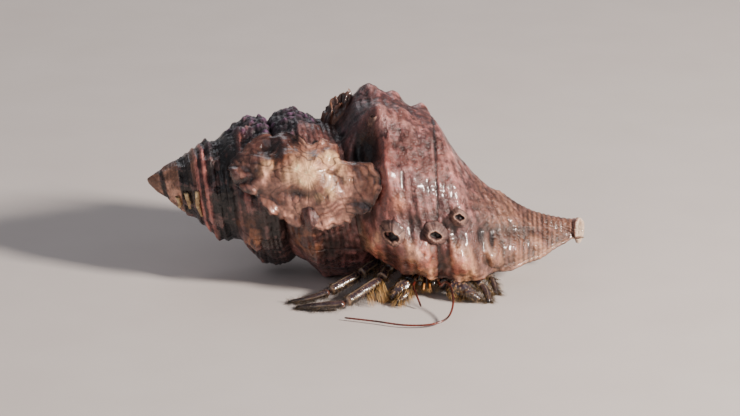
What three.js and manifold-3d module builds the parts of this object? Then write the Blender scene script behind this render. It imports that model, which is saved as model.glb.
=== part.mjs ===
// Hermit crab in a spindle-shaped knobbed snail shell, life size, still.
// Millimetres, +Z up, floor at Z = 0. The shell lies along X with its apex at -X and its siphonal
// canal at +X; its mouth opens downwards, and the crab looks out under the outer lip towards -Y.
import * as THREE from "three";
import Module from "manifold-3d";
import { mergeVertices } from "three/addons/utils/BufferGeometryUtils.js";

const wasm = await Module();
wasm.setup();

// ---- driving dimensions -------------------------------------------------------------------------
const SHELL_LENGTH = 117.7;
const APEX_X = -59; // where the apex stands along X before the part is centred
const CENTRE_SHIFT = new THREE.Vector3(0.15, 9.89, 0); // brings the middle of the footprint to X = Y = 0
const AXIAL_GROWTH = 1.46; // growth of the axial sizes per turn
const APEX_OFFSET = 5.535; // virtual start of the spiral behind the apex
const SUTURE_REACH = 63.48; // apex offset plus axial place of the suture at the lip
const SHOULDER_REACH = 72.63; // the same for the shoulder
const LIP_ANGLE = 117; // degrees from straight up, turning towards -Y
const TURNS = 6.25;
const SHOULDER_SLOPE = 0.9006; // shoulder radius = slope * d / (1 + bend * d)
const SHOULDER_BEND = 0.01477;
const KNOBS_PER_TURN = 10;
const KNOB_HEIGHT = 2.3;
const CORD_PITCH = 0.25; // spiral cords, in whorl heights
const CORD_HEIGHT = 0.45;
const LIP_WALL = 2.2;
const MOUTH_DEPTH = 0.6; // how far the hollow runs back from the lip, in turns
const SEAT_GAP = 0.3; // gap between solids that touch in life
const COLUMNS = 24; // facets of the shell per turn
const ROWS = 8; // facets of the shell per whorl height
const CANAL_ROWS = 9;

// ---- small helpers ------------------------------------------------------------------------------
const group = new THREE.Group();
group.name = "hermit_crab";

function material(name, colour, roughness) {
  const found = new THREE.MeshStandardMaterial({ color: colour, roughness, metalness: 0 });
  found.name = name;
  return found;
}

function table(at, places, values) {
  const last = places.length - 1;
  const x = Math.min(Math.max(at, places[0]), places[last]);
  let k = 0;
  while (k < last - 1 && x > places[k + 1]) k += 1;
  return THREE.MathUtils.mapLinear(x, places[k], places[k + 1], values[k], values[k + 1]);
}

function meshOf(positions, index) {
  const geometry = new THREE.BufferGeometry();
  geometry.setAttribute("position", new THREE.Float32BufferAttribute(positions, 3));
  geometry.setIndex(index);
  return geometry;
}

function solidOf(geometry) {
  const bare = geometry.clone();
  bare.deleteAttribute("normal");
  bare.deleteAttribute("uv");
  const merged = mergeVertices(bare, 1e-5);
  const vertProperties = new Float32Array(merged.attributes.position.array);
  const source = merged.index.array;
  const kept = [];
  for (let i = 0; i < source.length; i += 3) {
    const [a, b, c] = [source[i], source[i + 1], source[i + 2]];
    if (a !== b && b !== c && c !== a) kept.push(a, b, c);
  }
  const wind = (triVerts) => new wasm.Manifold(new wasm.Mesh({ numProp: 3, vertProperties, triVerts }));
  const first = wind(new Uint32Array(kept));
  return first.volume() > 0 ? first : wind(new Uint32Array(kept.reverse()));
}

function geometryOf(solid) {
  const mesh = solid.getMesh();
  const geometry = new THREE.BufferGeometry();
  geometry.setAttribute("position", new THREE.Float32BufferAttribute(mesh.vertProperties, 3));
  geometry.setIndex(Array.from(mesh.triVerts));
  return geometry;
}

function add(name, geometry, look) {
  const shape = geometry.clone();
  shape.translate(CENTRE_SHIFT.x, CENTRE_SHIFT.y, CENTRE_SHIFT.z);
  shape.computeVertexNormals();
  const mesh = new THREE.Mesh(shape, look.clone());
  mesh.name = name;
  group.add(mesh);
}

// ---- the snail shell: radius as a function of axial distance and angle ---------------------------
// Turns are counted back from the lip: t = 0 at the lip, t = 1 one turn earlier.
const growth = (t) => AXIAL_GROWTH ** -t;
const sutureAt = (t) => SUTURE_REACH * growth(t) - APEX_OFFSET;
const whorlHeight = (t) => SUTURE_REACH * growth(t) * (AXIAL_GROWTH - 1);

function shoulderRadius(t) {
  const d = Math.max(SHOULDER_REACH * growth(t) - APEX_OFFSET, 0);
  const base = (SHOULDER_SLOPE * d) / (1 + SHOULDER_BEND * d);
  const nearLip = 0.065 * Math.exp(-Math.max(t, 0) / 0.14);
  const wornBelly = 0.085 * Math.exp(-(((t - 0.85) / 0.17) ** 2));
  const wornTop = 0.095 * Math.exp(-(((t - 1.33) / 0.13) ** 2));
  return base * (1 - nearLip - wornBelly - wornTop);
}

const PROFILE_AT = [
  0.15, 0.2, 0.3, 0.36, 0.5, 0.65, 0.8, 0.9, 1, 1.08, 1.16, 1.32, 1.53, 1.69, 1.85, 2.2, 6,
];
const PROFILE = [
  0.825, 0.88, 0.965, 1, 0.985, 0.97, 0.93, 0.91, 0.9, 0.82, 0.7, 0.5, 0.3, 0.19, 0.11, 0.03, 0,
];
// towards the apex each whorl is a shallow bulge on one cone
const SPIRE_AT = [0, 0.05, 0.12, 0.3, 0.5, 0.75, 0.9, 1];
const SPIRE = [0.87, 0.925, 0.965, 1, 1, 0.985, 0.95, 0.87];
const SPIRE_FROM = 46; // the cone takes over between these axial places
const SPIRE_TO = 32;
const FLANGE_AT = [0, 1, 1.18, 1.27, 1.456, 1.64, 1.83, 1.965, 2.1, 6];
const FLANGE = [0, 0.5, 2.6, 4.8, 6.3, 6, 3.6, 1.2, 0, 0];
const CANAL_AT = [0, 81, 91.8, 95, 97.7, 103.1, 108.5, 113.9, 115.8, 117.7];
const CANAL = [0, 3.5, 5, 6.4, 5.8, 4.1, 3.2, 2.8, 2.9, 3.4];

function knob(s, t) {
  const wave = 0.5 + 0.5 * Math.cos(2 * Math.PI * (t - 0.1556) * KNOBS_PER_TURN * 0.986);
  const top = Math.exp(-(((t - 1.33) / 0.13) ** 2));
  const worn = (1 - 0.8 * Math.exp(-(((t - 0.84) / 0.1) ** 2))) * (1 - 0.7 * top);
  const fade = (1 - 0.75 * Math.exp(-Math.max(t, 0) / 0.09)) * worn * Math.min(1, shoulderRadius(t) / 26);
  return KNOB_HEIGHT * fade * wave ** 1.5 * Math.exp(-(((s - 0.36) / 0.16) ** 2));
}

function cord(s, t) {
  const fade = Math.min(1, shoulderRadius(t) / 26) * Math.exp(-(((s - 0.8) / 0.9) ** 4));
  return CORD_HEIGHT * fade * -Math.cos((2 * Math.PI * s) / CORD_PITCH);
}

function whorlRadius(d, t) {
  const s = (d - sutureAt(t)) / whorlHeight(t);
  const size = shoulderRadius(t);
  let radius = size * table(s, PROFILE_AT, PROFILE);
  if (s < 0.15) {
    const edge = 0.9 * shoulderRadius(t + 1);
    radius = THREE.MathUtils.lerp(edge, size * PROFILE[0], Math.max(s, 0) / 0.15);
  }
  radius += table(s, FLANGE_AT, FLANGE) * Math.exp(-Math.max(t, 0) / 0.12);
  const reach = Math.max(d, 0);
  const cone = (SHOULDER_SLOPE * reach) / (1 + SHOULDER_BEND * reach);
  const spire = THREE.MathUtils.smoothstep(SPIRE_FROM - d, 0, SPIRE_FROM - SPIRE_TO);
  radius = THREE.MathUtils.lerp(radius, cone * table(s, SPIRE_AT, SPIRE), spire);
  const rise = Math.min(1, Math.max(s, 0) / 0.15) * Math.min(1, Math.max(0, (1 - s) / 0.1));
  const relief = t < 1 && s > 0.9 ? cord(s, t) : (knob(s, t) + cord(s, t)) * rise;
  radius = Math.max(radius + relief, 0.02);
  return (radius ** 4 + table(d, CANAL_AT, CANAL) ** 4) ** 0.25;
}

// Height of the line that the whorls are centred on: it sags from the apex to the canal.
const centreHeight = (d) =>
  25.53 - 0.10004 * d + 3.5733e-3 * d ** 2 - 7.1101e-5 * d ** 3 + 3.3522e-7 * d ** 4;

function place(d, radius, degrees) {
  const a = THREE.MathUtils.degToRad(degrees);
  return [APEX_X + d, -radius * Math.sin(a), centreHeight(d) + radius * Math.cos(a)];
}

// The outer skin as one strip wound from the apex to the lip; grow swells it by a gap.
function shellGeometry(grow) {
  const steps = Math.round(TURNS * COLUMNS);
  const lastTurn = steps - COLUMNS;
  const positions = [];
  const names = new Map();
  const turnOf = (n) => (steps - n) / COLUMNS;
  const vertex = (n, j) => {
    let [a, b] = [n, j];
    if (j >= ROWS && n < lastTurn) [a, b] = [n + COLUMNS, j - ROWS];
    if (n === lastTurn && j === ROWS) [a, b] = [steps, 0];
    if (n === steps && j === ROWS + CANAL_ROWS) [a, b] = [lastTurn, j];
    const key = `${a}_${b}`;
    if (names.has(key)) return names.get(key);
    const t = turnOf(a);
    let d = sutureAt(t) + (whorlHeight(t) * b) / ROWS;
    if (b > ROWS) {
      const from = sutureAt(t) + whorlHeight(t);
      const share = ((b - ROWS) / CANAL_ROWS) ** (1 + 0.6 * t);
      d = from + (SHELL_LENGTH - from) * share;
    }
    const edge = b === ROWS + CANAL_ROWS;
    const end = edge ? grow : 0;
    const radius = (edge ? CANAL[CANAL.length - 1] : whorlRadius(d, t)) + grow;
    positions.push(...place(d + end, radius, LIP_ANGLE - 360 * t));
    names.set(key, names.size);
    return names.size - 1;
  };
  const index = [];
  for (let n = 0; n < steps; n += 1) {
    const rows = n >= lastTurn ? ROWS + CANAL_ROWS : ROWS;
    for (let j = 0; j < rows; j += 1) {
      const [a, b] = [vertex(n, j), vertex(n + 1, j)];
      const [c, e] = [vertex(n + 1, j + 1), vertex(n, j + 1)];
      index.push(a, c, b, a, e, c);
    }
  }
  const fan = (centre, loop) => {
    const tip = names.size;
    names.set(`tip${tip}`, tip);
    positions.push(...centre);
    loop.forEach((v, i) => index.push(tip, v, loop[(i + 1) % loop.length]));
  };
  const start = [];
  for (let j = ROWS; j > 0; j -= 1) start.push(vertex(0, j));
  for (let n = 0; n < COLUMNS; n += 1) start.push(vertex(n, 0));
  fan(place(-grow, 0, 0), start);
  const end = [];
  for (let n = lastTurn; n < steps; n += 1) end.push(vertex(n, ROWS + CANAL_ROWS));
  fan(place(SHELL_LENGTH + grow, 0, 0), end.reverse());
  // the plane of the mouth, between the lip and the older whorl beneath it
  const outer = [];
  for (let j = 0; j <= ROWS + CANAL_ROWS; j += 1) outer.push(vertex(steps, j));
  const inner = [];
  for (let j = ROWS; j <= ROWS + CANAL_ROWS; j += 1) inner.push(vertex(lastTurn, j));
  let [i, k] = [0, 0];
  while (i < outer.length - 1 || k < inner.length - 1) {
    const ahead = k === inner.length - 1 || (i < outer.length - 1 &&
      positions[3 * outer[i + 1]] < positions[3 * inner[k + 1]]);
    if (ahead) {
      index.push(outer[i], outer[i + 1], inner[k]);
      i += 1;
    } else {
      index.push(outer[i], inner[k + 1], inner[k]);
      k += 1;
    }
  }
  return meshOf(positions, index.reverse());
}

// A closed body lofted through rings of equal count, given as arrays of [x, y, z].
function loft(rings) {
  const count = rings[0].length;
  const positions = rings.flat(2);
  const index = [];
  for (let r = 0; r < rings.length - 1; r += 1) {
    for (let i = 0; i < count; i += 1) {
      const [a, b] = [r * count + i, r * count + ((i + 1) % count)];
      index.push(a, b, b + count, a, b + count, a + count);
    }
  }
  [[0, true], [rings.length - 1, false]].forEach(([r, flip]) => {
    const middle = positions.length / 3;
    const sum = [0, 0, 0];
    rings[r].forEach((p) => p.forEach((v, axis) => { sum[axis] += v / count; }));
    positions.push(...sum);
    for (let i = 0; i < count; i += 1) {
      const [a, b] = [r * count + i, r * count + ((i + 1) % count)];
      if (flip) index.push(middle, b, a);
      else index.push(middle, a, b);
    }
  });
  return meshOf(positions, index);
}

// The hollow that the crab lives in: it winds back from the mouth inside the last whorl.
function hollowGeometry() {
  const rings = [];
  const sections = 15;
  for (let i = 0; i <= sections; i += 1) {
    const t = -0.035 + ((MOUTH_DEPTH + 0.035) * i) / sections;
    const ring = [];
    const reach = 1.3 + 0.45 * Math.exp(-Math.max(t, 0) / 0.12);
    const spots = 8;
    const place2 = (s, outside) => {
      const d = sutureAt(t) + s * whorlHeight(t);
      const size = shoulderRadius(t);
      const flange = table(s, FLANGE_AT, FLANGE) * Math.exp(-Math.max(t, 0) / 0.12);
      const foot = Math.min(s / 0.15, 1);
      const edge = THREE.MathUtils.lerp(0.9 * shoulderRadius(t + 1), size * PROFILE[0], foot);
      const shape = s < 0.15 ? edge : size * table(s, PROFILE_AT, PROFILE);
      const inner = shoulderRadius(t + 1) * table(1 + AXIAL_GROWTH * s, PROFILE_AT, PROFILE);
      const column = (inner ** 4 + table(d, CANAL_AT, CANAL) ** 4) ** 0.25 + 0.8;
      const wall = Math.max(shape + flange - LIP_WALL, column + 0.5);
      return place(d, outside ? wall : column, LIP_ANGLE - 360 * t);
    };
    for (let k = 0; k <= spots; k += 1) ring.push(place2(0.12 + ((reach - 0.12) * k) / spots, true));
    for (let k = spots - 1; k > 0; k -= 1) ring.push(place2(0.12 + ((reach - 0.12) * k) / spots, false));
    rings.push(ring);
  }
  return loft(rings);
}

const shellSkin = solidOf(shellGeometry(0));
const hollow = solidOf(hollowGeometry());
const canalRings = [];
for (let i = 0; i <= 8; i += 1) {
  const d = 88 + (i / 8) * 31;
  const [x, y, z] = place(Math.min(d, SHELL_LENGTH + 2), 2.4 - 0.08 * i, 135);
  const ring = [];
  for (let k = 0; k < 8; k += 1) {
    const a = (k / 8) * 2 * Math.PI;
    const beyond = d > SHELL_LENGTH ? d - SHELL_LENGTH - 2 : 0;
    ring.push([x + beyond, y + 1.7 * Math.cos(a), z + 1.7 * Math.sin(a)]);
  }
  canalRings.push(ring);
}
const canalBore = solidOf(loft(canalRings));
const shell = shellSkin.subtract(hollow).subtract(canalBore).trimByPlane([0, 0, 1], 0);
const swollen = solidOf(shellGeometry(SEAT_GAP));

// ---- looks --------------------------------------------------------------------------------------
const shellLook = material("shell", 0x7a6152, 0.45);
const oysterLook = material("oyster", 0xa98a72, 0.5);
const barnacleLook = material("barnacle", 0x8d7a6c, 0.6);
const tubeLook = material("worm_tube", 0xb8a78a, 0.6);
const cuticleLook = material("cuticle", 0x2f2a26, 0.35);
const softLook = material("soft_skin", 0xb4846c, 0.6);
const eyeLook = material("eye", 0x10100f, 0.2);
const feelerLook = material("feeler", 0x4a241c, 0.4);

add("shell", geometryOf(shell), shellLook);

// ---- what is cemented to the shell ---------------------------------------------------------------
// Each growth is sunk into the skin, then cut back to leave the seat gap.
function cemented(name, solid, look) {
  const cut = solid.subtract(swollen);
  const pieces = cut.decompose().sort((a, b) => b.volume() - a.volume());
  add(name, geometryOf(pieces[0]), look);
}

// A pad lying on the shell, as rings round its middle; reach and height are functions.
function padGeometry(d0, angle0, reach, height, rings, spokes, sink) {
  const lower = [];
  const upper = [];
  const skinAt = (d, angle) => {
    let t = (((LIP_ANGLE - angle) / 360) % 1 + 1) % 1;
    while (sutureAt(t) > d) t += 1;
    return whorlRadius(d, t);
  };
  for (let r = rings; r >= 0; r -= 1) {
    const share = r / rings;
    const bottomRing = [];
    const topRing = [];
    for (let k = 0; k < spokes; k += 1) {
      const around = (k / spokes) * 2 * Math.PI;
      const out = reach(around) * Math.max(share, 0.02);
      const d = d0 + out * Math.cos(around);
      const radius0 = skinAt(d0, angle0);
      const angle = angle0 + THREE.MathUtils.radToDeg((out * Math.sin(around)) / radius0);
      const skin = skinAt(d, angle);
      bottomRing.push(place(d, skin - sink, angle));
      topRing.push(place(d, skin + height(share, around), angle));
    }
    upper.push(topRing);
    lower.unshift(bottomRing);
  }
  return loft([...lower, ...upper]);
}

const OYSTER_AT = { d: 43.7, angle: 65 };
const OYSTER_RADIUS = 16.6;
const OYSTER_TRIM = 2.4; // taken off the upper side of its rim
const OYSTER_NOTCH = 5.5; // depth of the bay in its rim beside the hollow in the ramp
// amplitude and phase of the first waves round its rim
const OYSTER_WAVES = [[1.56, -2.23], [2.93, 0.25], [1.23, -1.5], [0.79, 1.98], [0.45, 1.45], [1.11, -0.21]];
const oysterReach = (a) => {
  const bay = OYSTER_NOTCH * Math.exp((Math.cos(a + 0.65) - 1) / 0.07);
  const rim = OYSTER_RADIUS - bay - OYSTER_TRIM * Math.max(0, -Math.sin(a)) ** 2;
  return OYSTER_WAVES.reduce((sum, [size, phase], k) => sum + size * Math.cos((k + 1) * a - phase), rim);
};
const oysterHeight = (share, a) => {
  const ripple = 1.4 * Math.sin(3 * a + 0.7) * share * (1 - share);
  return 1.2 + 2.6 * (1 - share ** 2) + ripple;
};
cemented("oyster", solidOf(padGeometry(OYSTER_AT.d, OYSTER_AT.angle, oysterReach, oysterHeight, 3, 18, 1.5)),
  oysterLook);

const crestReach = (a) => 3.8 * (1 + 0.2 * Math.sin(3 * a));
const crestHeight = (share, a) => 6 * (1 - share ** 1.5) + 1 + 0.8 * Math.sin(2 * a) * share;
cemented("top_growth", solidOf(padGeometry(51, -14, crestReach, crestHeight, 3, 9, 1.5)), oysterLook);

const BARNACLES = [
  ["barnacle_front", 65.6, 92, 3.2, 2.3],
  ["barnacle_middle", 77.2, 88, 2.7, 2],
  ["barnacle_upper", 83.5, 76, 2.2, 2.1],
  ["barnacle_ridge", 61, 27, 1.6, 1.6],
];
for (const [name, d, angle, radius, tall] of BARNACLES) {
  const wall = (share) => {
    if (share > 0.75) return tall * (1 - share) * 2.6 + 0.3;
    return share > 0.35 ? tall : tall * 0.45;
  };
  const solid = solidOf(padGeometry(d, angle, () => radius * 1.15, wall, 4, 8, 1));
  cemented(name, solid, barnacleLook);
}

// A tube wound on the shell, given by its ends in shell places.
function tubeOnShell(from, to, radius, bow) {
  const rings = [];
  for (let i = 0; i <= 5; i += 1) {
    const u = i / 5;
    const d = THREE.MathUtils.lerp(from[0], to[0], u) + bow * Math.sin(Math.PI * u);
    const angle = THREE.MathUtils.lerp(from[1], to[1], u);
    let t = (((LIP_ANGLE - angle) / 360) % 1 + 1) % 1;
    while (sutureAt(t) > d) t += 1;
    const skin = whorlRadius(d, t);
    const ring = [];
    for (let k = 0; k < 6; k += 1) {
      const a = (k / 6) * 2 * Math.PI;
      ring.push(place(d + radius * Math.cos(a), skin + radius * (0.75 + Math.sin(a)), angle));
    }
    rings.push(ring);
  }
  return loft(rings);
}
const TUBES = [
  ["worm_tube_small", [8.7, 132], [8.2, 104], 0.55, 0.5],
  ["worm_tube_middle", [15, 120], [13.8, 84], 0.6, -0.4],
  ["worm_tube_large", [11.6, 124], [10.7, 92], 0.65, 0.3],
];
for (const [name, from, to, radius, bow] of TUBES) {
  cemented(name, solidOf(tubeOnShell(from, to, radius, bow)), tubeLook);
}

// ---- the crab -----------------------------------------------------------------------------------
const CRAB_X = 16; // middle plane of the crab

// A limb length: a tapered tube through its joints, wide across and flattened by flat; what would
// sink below the floor is cut off flat.
function limb(name, joints, radii, look, options = {}) {
  const { sides = 6, rings = 5, flat = 1, ends = 0.55 } = options;
  const path = new THREE.CatmullRomCurve3(joints.map((p) => new THREE.Vector3(...p)));
  const stations = [];
  const cap = 0.09;
  stations.push(0, cap);
  for (let i = 1; i < rings - 2; i += 1) stations.push(cap + ((1 - 2 * cap) * i) / (rings - 2));
  stations.push(1 - cap, 1);
  const body = [];
  stations.forEach((u, i) => {
    const at = path.getPoint(u);
    const along = path.getTangent(u);
    const across = new THREE.Vector3(0, 0, 1).cross(along);
    if (across.lengthSq() < 1e-4) across.set(1, 0, 0);
    across.normalize();
    const rise = along.clone().cross(across).normalize();
    const share = u * (radii.length - 1);
    const k = Math.min(Math.floor(share), radii.length - 2);
    const soft = i === 0 || i === stations.length - 1 ? ends : 1;
    const radius = THREE.MathUtils.lerp(radii[k], radii[k + 1], share - k) * soft;
    const ring = [];
    for (let j = 0; j < sides; j += 1) {
      const a = (j / sides) * 2 * Math.PI;
      const point = at.clone().addScaledVector(across, radius * Math.cos(a));
      point.addScaledVector(rise, radius * flat * Math.sin(a));
      ring.push([point.x, point.y, point.z]);
    }
    body.push(ring);
  });
  const solid = solidOf(loft(body)).trimByPlane([0, 0, 1], 0);
  add(name, geometryOf(solid), look);
}

// An egg-shaped body: half sizes along its own front, side and up, pitched by degrees nose-down.
function egg(name, centre, half, pitch, look, around = 10, rows = 7) {
  const ball = new THREE.SphereGeometry(1, around, rows);
  ball.scale(half[0], half[1], half[2]);
  ball.rotateX(THREE.MathUtils.degToRad(pitch));
  ball.translate(...centre);
  add(name, geometryOf(solidOf(ball)), look);
}

const side = (mirror, point) => [CRAB_X + mirror * point[0], point[1], point[2]];

egg("carapace_shield", [CRAB_X, -14.9, 8.4], [4.8, 6, 2.5], 30, cuticleLook);
egg("thorax", [CRAB_X, -11.3, 4.7], [2.9, 4.6, 1.9], 12, cuticleLook);

const ABDOMEN = [
  ["carapace_rear", 112, 97, [4.3, 4.6, 4.7], 13.6, 14.6],
  ["abdomen_front", 91.5, 59, [4.9, 6, 6.1], 15, 15.5],
  ["abdomen_middle", 54.5, 19, [6.1, 6.2, 5.9], 15.5, 15.5],
  ["abdomen_rear", 14.5, -26, [5.8, 4.9, 3.3], 15.5, 15.2],
  ["tail_plate", -30, -39, [2.2, 2, 1.4], 15.2, 15.2],
];
for (const [name, from, to, radii, r0, r1] of ABDOMEN) {
  const joints = [];
  for (let i = 0; i <= 3; i += 1) {
    const angle = THREE.MathUtils.lerp(from, to, i / 3);
    const t = (LIP_ANGLE - angle) / 360;
    joints.push(place(sutureAt(t) + 0.55 * whorlHeight(t), THREE.MathUtils.lerp(r0, r1, i / 3), angle));
  }
  limb(name, joints, radii, name === "tail_plate" ? cuticleLook : softLook, { sides: 10, rings: 6 });
}
for (const [name, shift] of [["uropod_right", 3.4], ["uropod_left", -3.4]]) {
  const joints = [[0, -33], [1, -40], [2.2, -46]].map(([out, angle]) => {
    const t = (LIP_ANGLE - angle) / 360;
    return place(sutureAt(t) + 0.55 * whorlHeight(t) + shift + Math.sign(shift) * out * 0.6, 15.2, angle);
  });
  limb(name, joints, [0.7, 0.9, 0.5], cuticleLook, { sides: 6, rings: 4 });
}

// The head, mirrored about the crab's middle plane.
const SIDES = [["right", -1], ["left", 1]];
for (const [word, m] of SIDES) {
  limb(`eyestalk_${word}`, [side(m, [1.15, -20.6, 5.9]), side(m, [1.65, -23.5, 4.95])], [0.5, 0.42, 0.5],
    cuticleLook, { sides: 7, rings: 4, ends: 0.8 });
  egg(`eye_${word}`, side(m, [1.82, -24.5, 4.7]), [0.62, 0.72, 0.62], 12, eyeLook, 8, 6);
  limb(`antennule_${word}`, [side(m, [0.45, -20.3, 4.6]), side(m, [0.6, -22.9, 3.9]),
    side(m, [0.75, -24.9, 4.3]), side(m, [0.9, -27.2, 3.8])], [0.38, 0.34, 0.28, 0.26], feelerLook,
    { sides: 6, rings: 6, ends: 0.9 });
  limb(`antenna_base_${word}`, [side(m, [2.6, -19.7, 6]), side(m, [3, -23.2, 4.9])], [0.65, 0.65, 0.5],
    cuticleLook, { sides: 7, rings: 5, ends: 0.75 });
  limb(`maxilliped_${word}`, [side(m, [0.85, -16.9, 3.9]), side(m, [1, -19.9, 2.5]),
    side(m, [0.8, -22.4, 2.2])], [0.7, 0.65, 0.4], cuticleLook, { sides: 6, rings: 5 });
}
limb("antenna_left", [[19.1, -23.8, 4.6], [19.7, -26.3, 4.6], [20.8, -28.6, 6.3], [22.3, -32.4, 6.1],
  [22.7, -38.6, 3.5], [21, -44, 1.6], [17, -46.9, 1], [10.4, -47.2, 0.85], [2.3, -44.1, 0.85],
  [-5.8, -41.2, 0.8]],
[0.32, 0.31, 0.3, 0.28, 0.26, 0.25], feelerLook, { sides: 5, rings: 23, ends: 0.95 });
limb("antenna_right", [[12.9, -23.8, 4.7], [12.4, -26, 4.4], [13.3, -29.6, 2.9], [14.4, -32.6, 0.9]],
  [0.32, 0.3, 0.28, 0.26], feelerLook, { sides: 6, rings: 9, ends: 0.95 });

// Legs: each row is a name, its joints and its radii; lengths end to end with a hair's gap.
const LIMBS = [
  ["claw_merus_right", [[11.7, -14.2, 4.4], [11.7, -18.8, 4.2]], [1.1, 1.35, 1.3]],
  ["claw_carpus_right", [[11.6, -19.3, 4.1], [11.1, -22.1, 3.7]], [1.3, 1.65, 1.5]],
  ["claw_merus_left", [[20.3, -14.2, 4.4], [20.3, -19.4, 4.1]], [1.1, 1.35, 1.3]],
  ["claw_carpus_left", [[20.4, -19.9, 4], [21, -22.8, 3.5]], [1.3, 1.65, 1.5]],
  ["leg2_merus_right", [[11, -11.6, 7], [5.4, -19, 6.6]], [1.2, 1.6, 1.5]],
  ["leg2_carpus_right", [[5.1, -19.4, 6.5], [3.9, -23.2, 5.3]], [1.3, 1.55, 1.5]],
  ["leg2_propodus_right", [[3.6, -23.8, 5.1], [-0.8, -28.5, 3.6], [-5.6, -33.2, 2.1]],
    [1.4, 1.55, 1.45, 1.3]],
  ["leg2_dactyl_right", [[-6.1, -33.7, 1.9], [-12.5, -34, 1.5], [-18.8, -31.6, 0.25]],
    [1.3, 1.2, 0.95, 0.55]],
  ["leg3_merus_right", [[11, -8.2, 8.1], [3, -14.4, 7.4]], [1.2, 1.5, 1.4]],
  ["leg3_carpus_right", [[2.6, -15.2, 7], [-1.6, -19.3, 5.3]], [1.3, 1.45, 1.35]],
  ["leg3_propodus_right", [[-2, -19.7, 5.1], [-9.8, -26, 2.8]], [1.3, 1.4, 1.25]],
  ["leg3_dactyl_right", [[-10.3, -26.4, 2.6], [-15.5, -28.4, 1.5], [-20.8, -27.2, 0.25]],
    [1.2, 1, 0.8, 0.5]],
  ["leg2_merus_left", [[21, -11.4, 6.8], [24.4, -15.8, 6.4]], [1.2, 1.6, 1.5]],
  ["leg2_carpus_left", [[24.7, -16.2, 6.2], [27.3, -18.5, 5]], [1.3, 1.4, 1.3]],
  ["leg2_propodus_left", [[27.6, -18.9, 4.6], [30.7, -22.4, 2.9]], [1.2, 1.25, 1.15]],
  ["leg2_dactyl_left", [[31, -22.8, 3], [32.1, -25.4, 1.7], [32.4, -27.9, 0.25]], [1.1, 1, 0.85, 0.5]],
  ["leg3_merus_left", [[21, -8.6, 7.8], [26.6, -11.1, 7.4]], [1.2, 1.5, 1.4]],
  ["leg3_carpus_left", [[27, -11.3, 7.3], [30.1, -13.4, 6]], [1.25, 1.4, 1.3]],
  ["leg3_propodus_left", [[30.4, -13.7, 5.8], [33.2, -16.9, 3.3]], [1.2, 1.3, 1.15]],
  ["leg3_dactyl_left", [[33.4, -17.3, 3.1], [34.3, -19.4, 1.6], [34.6, -21.6, 0.25]],
    [1.05, 0.9, 0.75, 0.5]],
  ["leg4_right", [[12.6, -8, 10.4], [9, -9.6, 10.6], [7.4, -12.4, 9.9]], [0.8, 0.7, 0.45]],
  ["leg4_left", [[19.4, -8, 10.4], [23, -9.6, 10.6], [24.6, -12.4, 9.9]], [0.8, 0.7, 0.45]],
  ["leg5_right", [[11.2, -6.6, 12.2], [9.4, -7.6, 13], [8.8, -10.4, 12.6]], [0.7, 0.6, 0.4]],
  ["leg5_left", [[20.8, -6.6, 12.2], [22.6, -7.6, 13], [23.2, -10.4, 12.6]], [0.7, 0.6, 0.4]],
];
for (const [name, joints, radii] of LIMBS) {
  limb(name, joints, radii, cuticleLook, { flat: name.includes("dactyl") ? 0.85 : 1.05 });
}
// Claws: a swollen palm that carries the fixed finger, and the moving finger beside it.
limb("claw_palm_right", [[10.8, -22.8, 3.6], [9.5, -24.6, 3.1], [7.7, -26.6, 2.2], [6.5, -28, 1.1]],
  [1.5, 2.1, 2, 1.2, 0.6], cuticleLook, { sides: 8, rings: 7 });
limb("claw_finger_right", [[11.1, -27, 3.1], [9.6, -29, 2.1], [7.9, -30.3, 1]], [0.75, 0.95, 0.8, 0.5],
  cuticleLook, { sides: 7, rings: 5 });
limb("claw_palm_left", [[21.6, -23.6, 3.1], [24, -24.1, 2.7], [27, -24.6, 2.1], [29.6, -25.2, 1]],
  [1.5, 2, 2, 1.2, 0.6], cuticleLook, { sides: 8, rings: 7 });
limb("claw_finger_left", [[26.2, -27.2, 2.9], [28.3, -27.4, 2], [30.3, -27.3, 0.9]], [0.8, 1, 0.85, 0.5],
  cuticleLook, { sides: 7, rings: 5 });

export default group;
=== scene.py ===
"""Hermit crab in a spindle-shaped knobbed snail shell, life size, still.

Sizes below are millimetres in the shell's own frame: the apex at X = -59, the canal at +X, the
floor at Z = 0 and the crab's face towards -Y. Every mesh is moved by SHIFT and scaled to metres.
"""

import bmesh
import bpy
import numpy as np
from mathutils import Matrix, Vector


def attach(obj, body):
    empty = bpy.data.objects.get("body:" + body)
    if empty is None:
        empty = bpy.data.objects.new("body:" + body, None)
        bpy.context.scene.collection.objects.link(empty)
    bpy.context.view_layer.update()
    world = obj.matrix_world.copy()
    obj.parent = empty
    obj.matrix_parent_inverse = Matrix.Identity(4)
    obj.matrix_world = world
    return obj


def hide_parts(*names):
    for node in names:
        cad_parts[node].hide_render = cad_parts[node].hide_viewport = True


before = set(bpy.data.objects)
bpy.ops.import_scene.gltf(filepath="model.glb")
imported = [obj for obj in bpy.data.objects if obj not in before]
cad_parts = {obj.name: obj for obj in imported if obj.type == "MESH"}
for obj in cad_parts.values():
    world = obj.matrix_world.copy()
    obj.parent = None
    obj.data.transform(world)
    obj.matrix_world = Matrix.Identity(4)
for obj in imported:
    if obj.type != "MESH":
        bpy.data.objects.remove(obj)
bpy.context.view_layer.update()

# ---- driving sizes ------------------------------------------------------------------------------
MM = 0.001
SHIFT = np.array([0.15, 9.89, 0.0])
SHELL_LENGTH = 117.7
APEX_X = -59.0
AXIAL_GROWTH = 1.46
APEX_OFFSET = 5.535
SUTURE_REACH = 63.48
SHOULDER_REACH = 72.63
LIP_ANGLE = 117.0
TURNS = 6.25
SHOULDER_SLOPE = 0.9006
SHOULDER_BEND = 0.01477
KNOBS_PER_TURN = 9.86
KNOB_HEIGHT = 2.3
KNOB_PHASE = 0.1556
FULL_RELIEF_RADIUS = 26
CORD_PITCH = 0.25
LIP_WALL = 2.2
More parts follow.
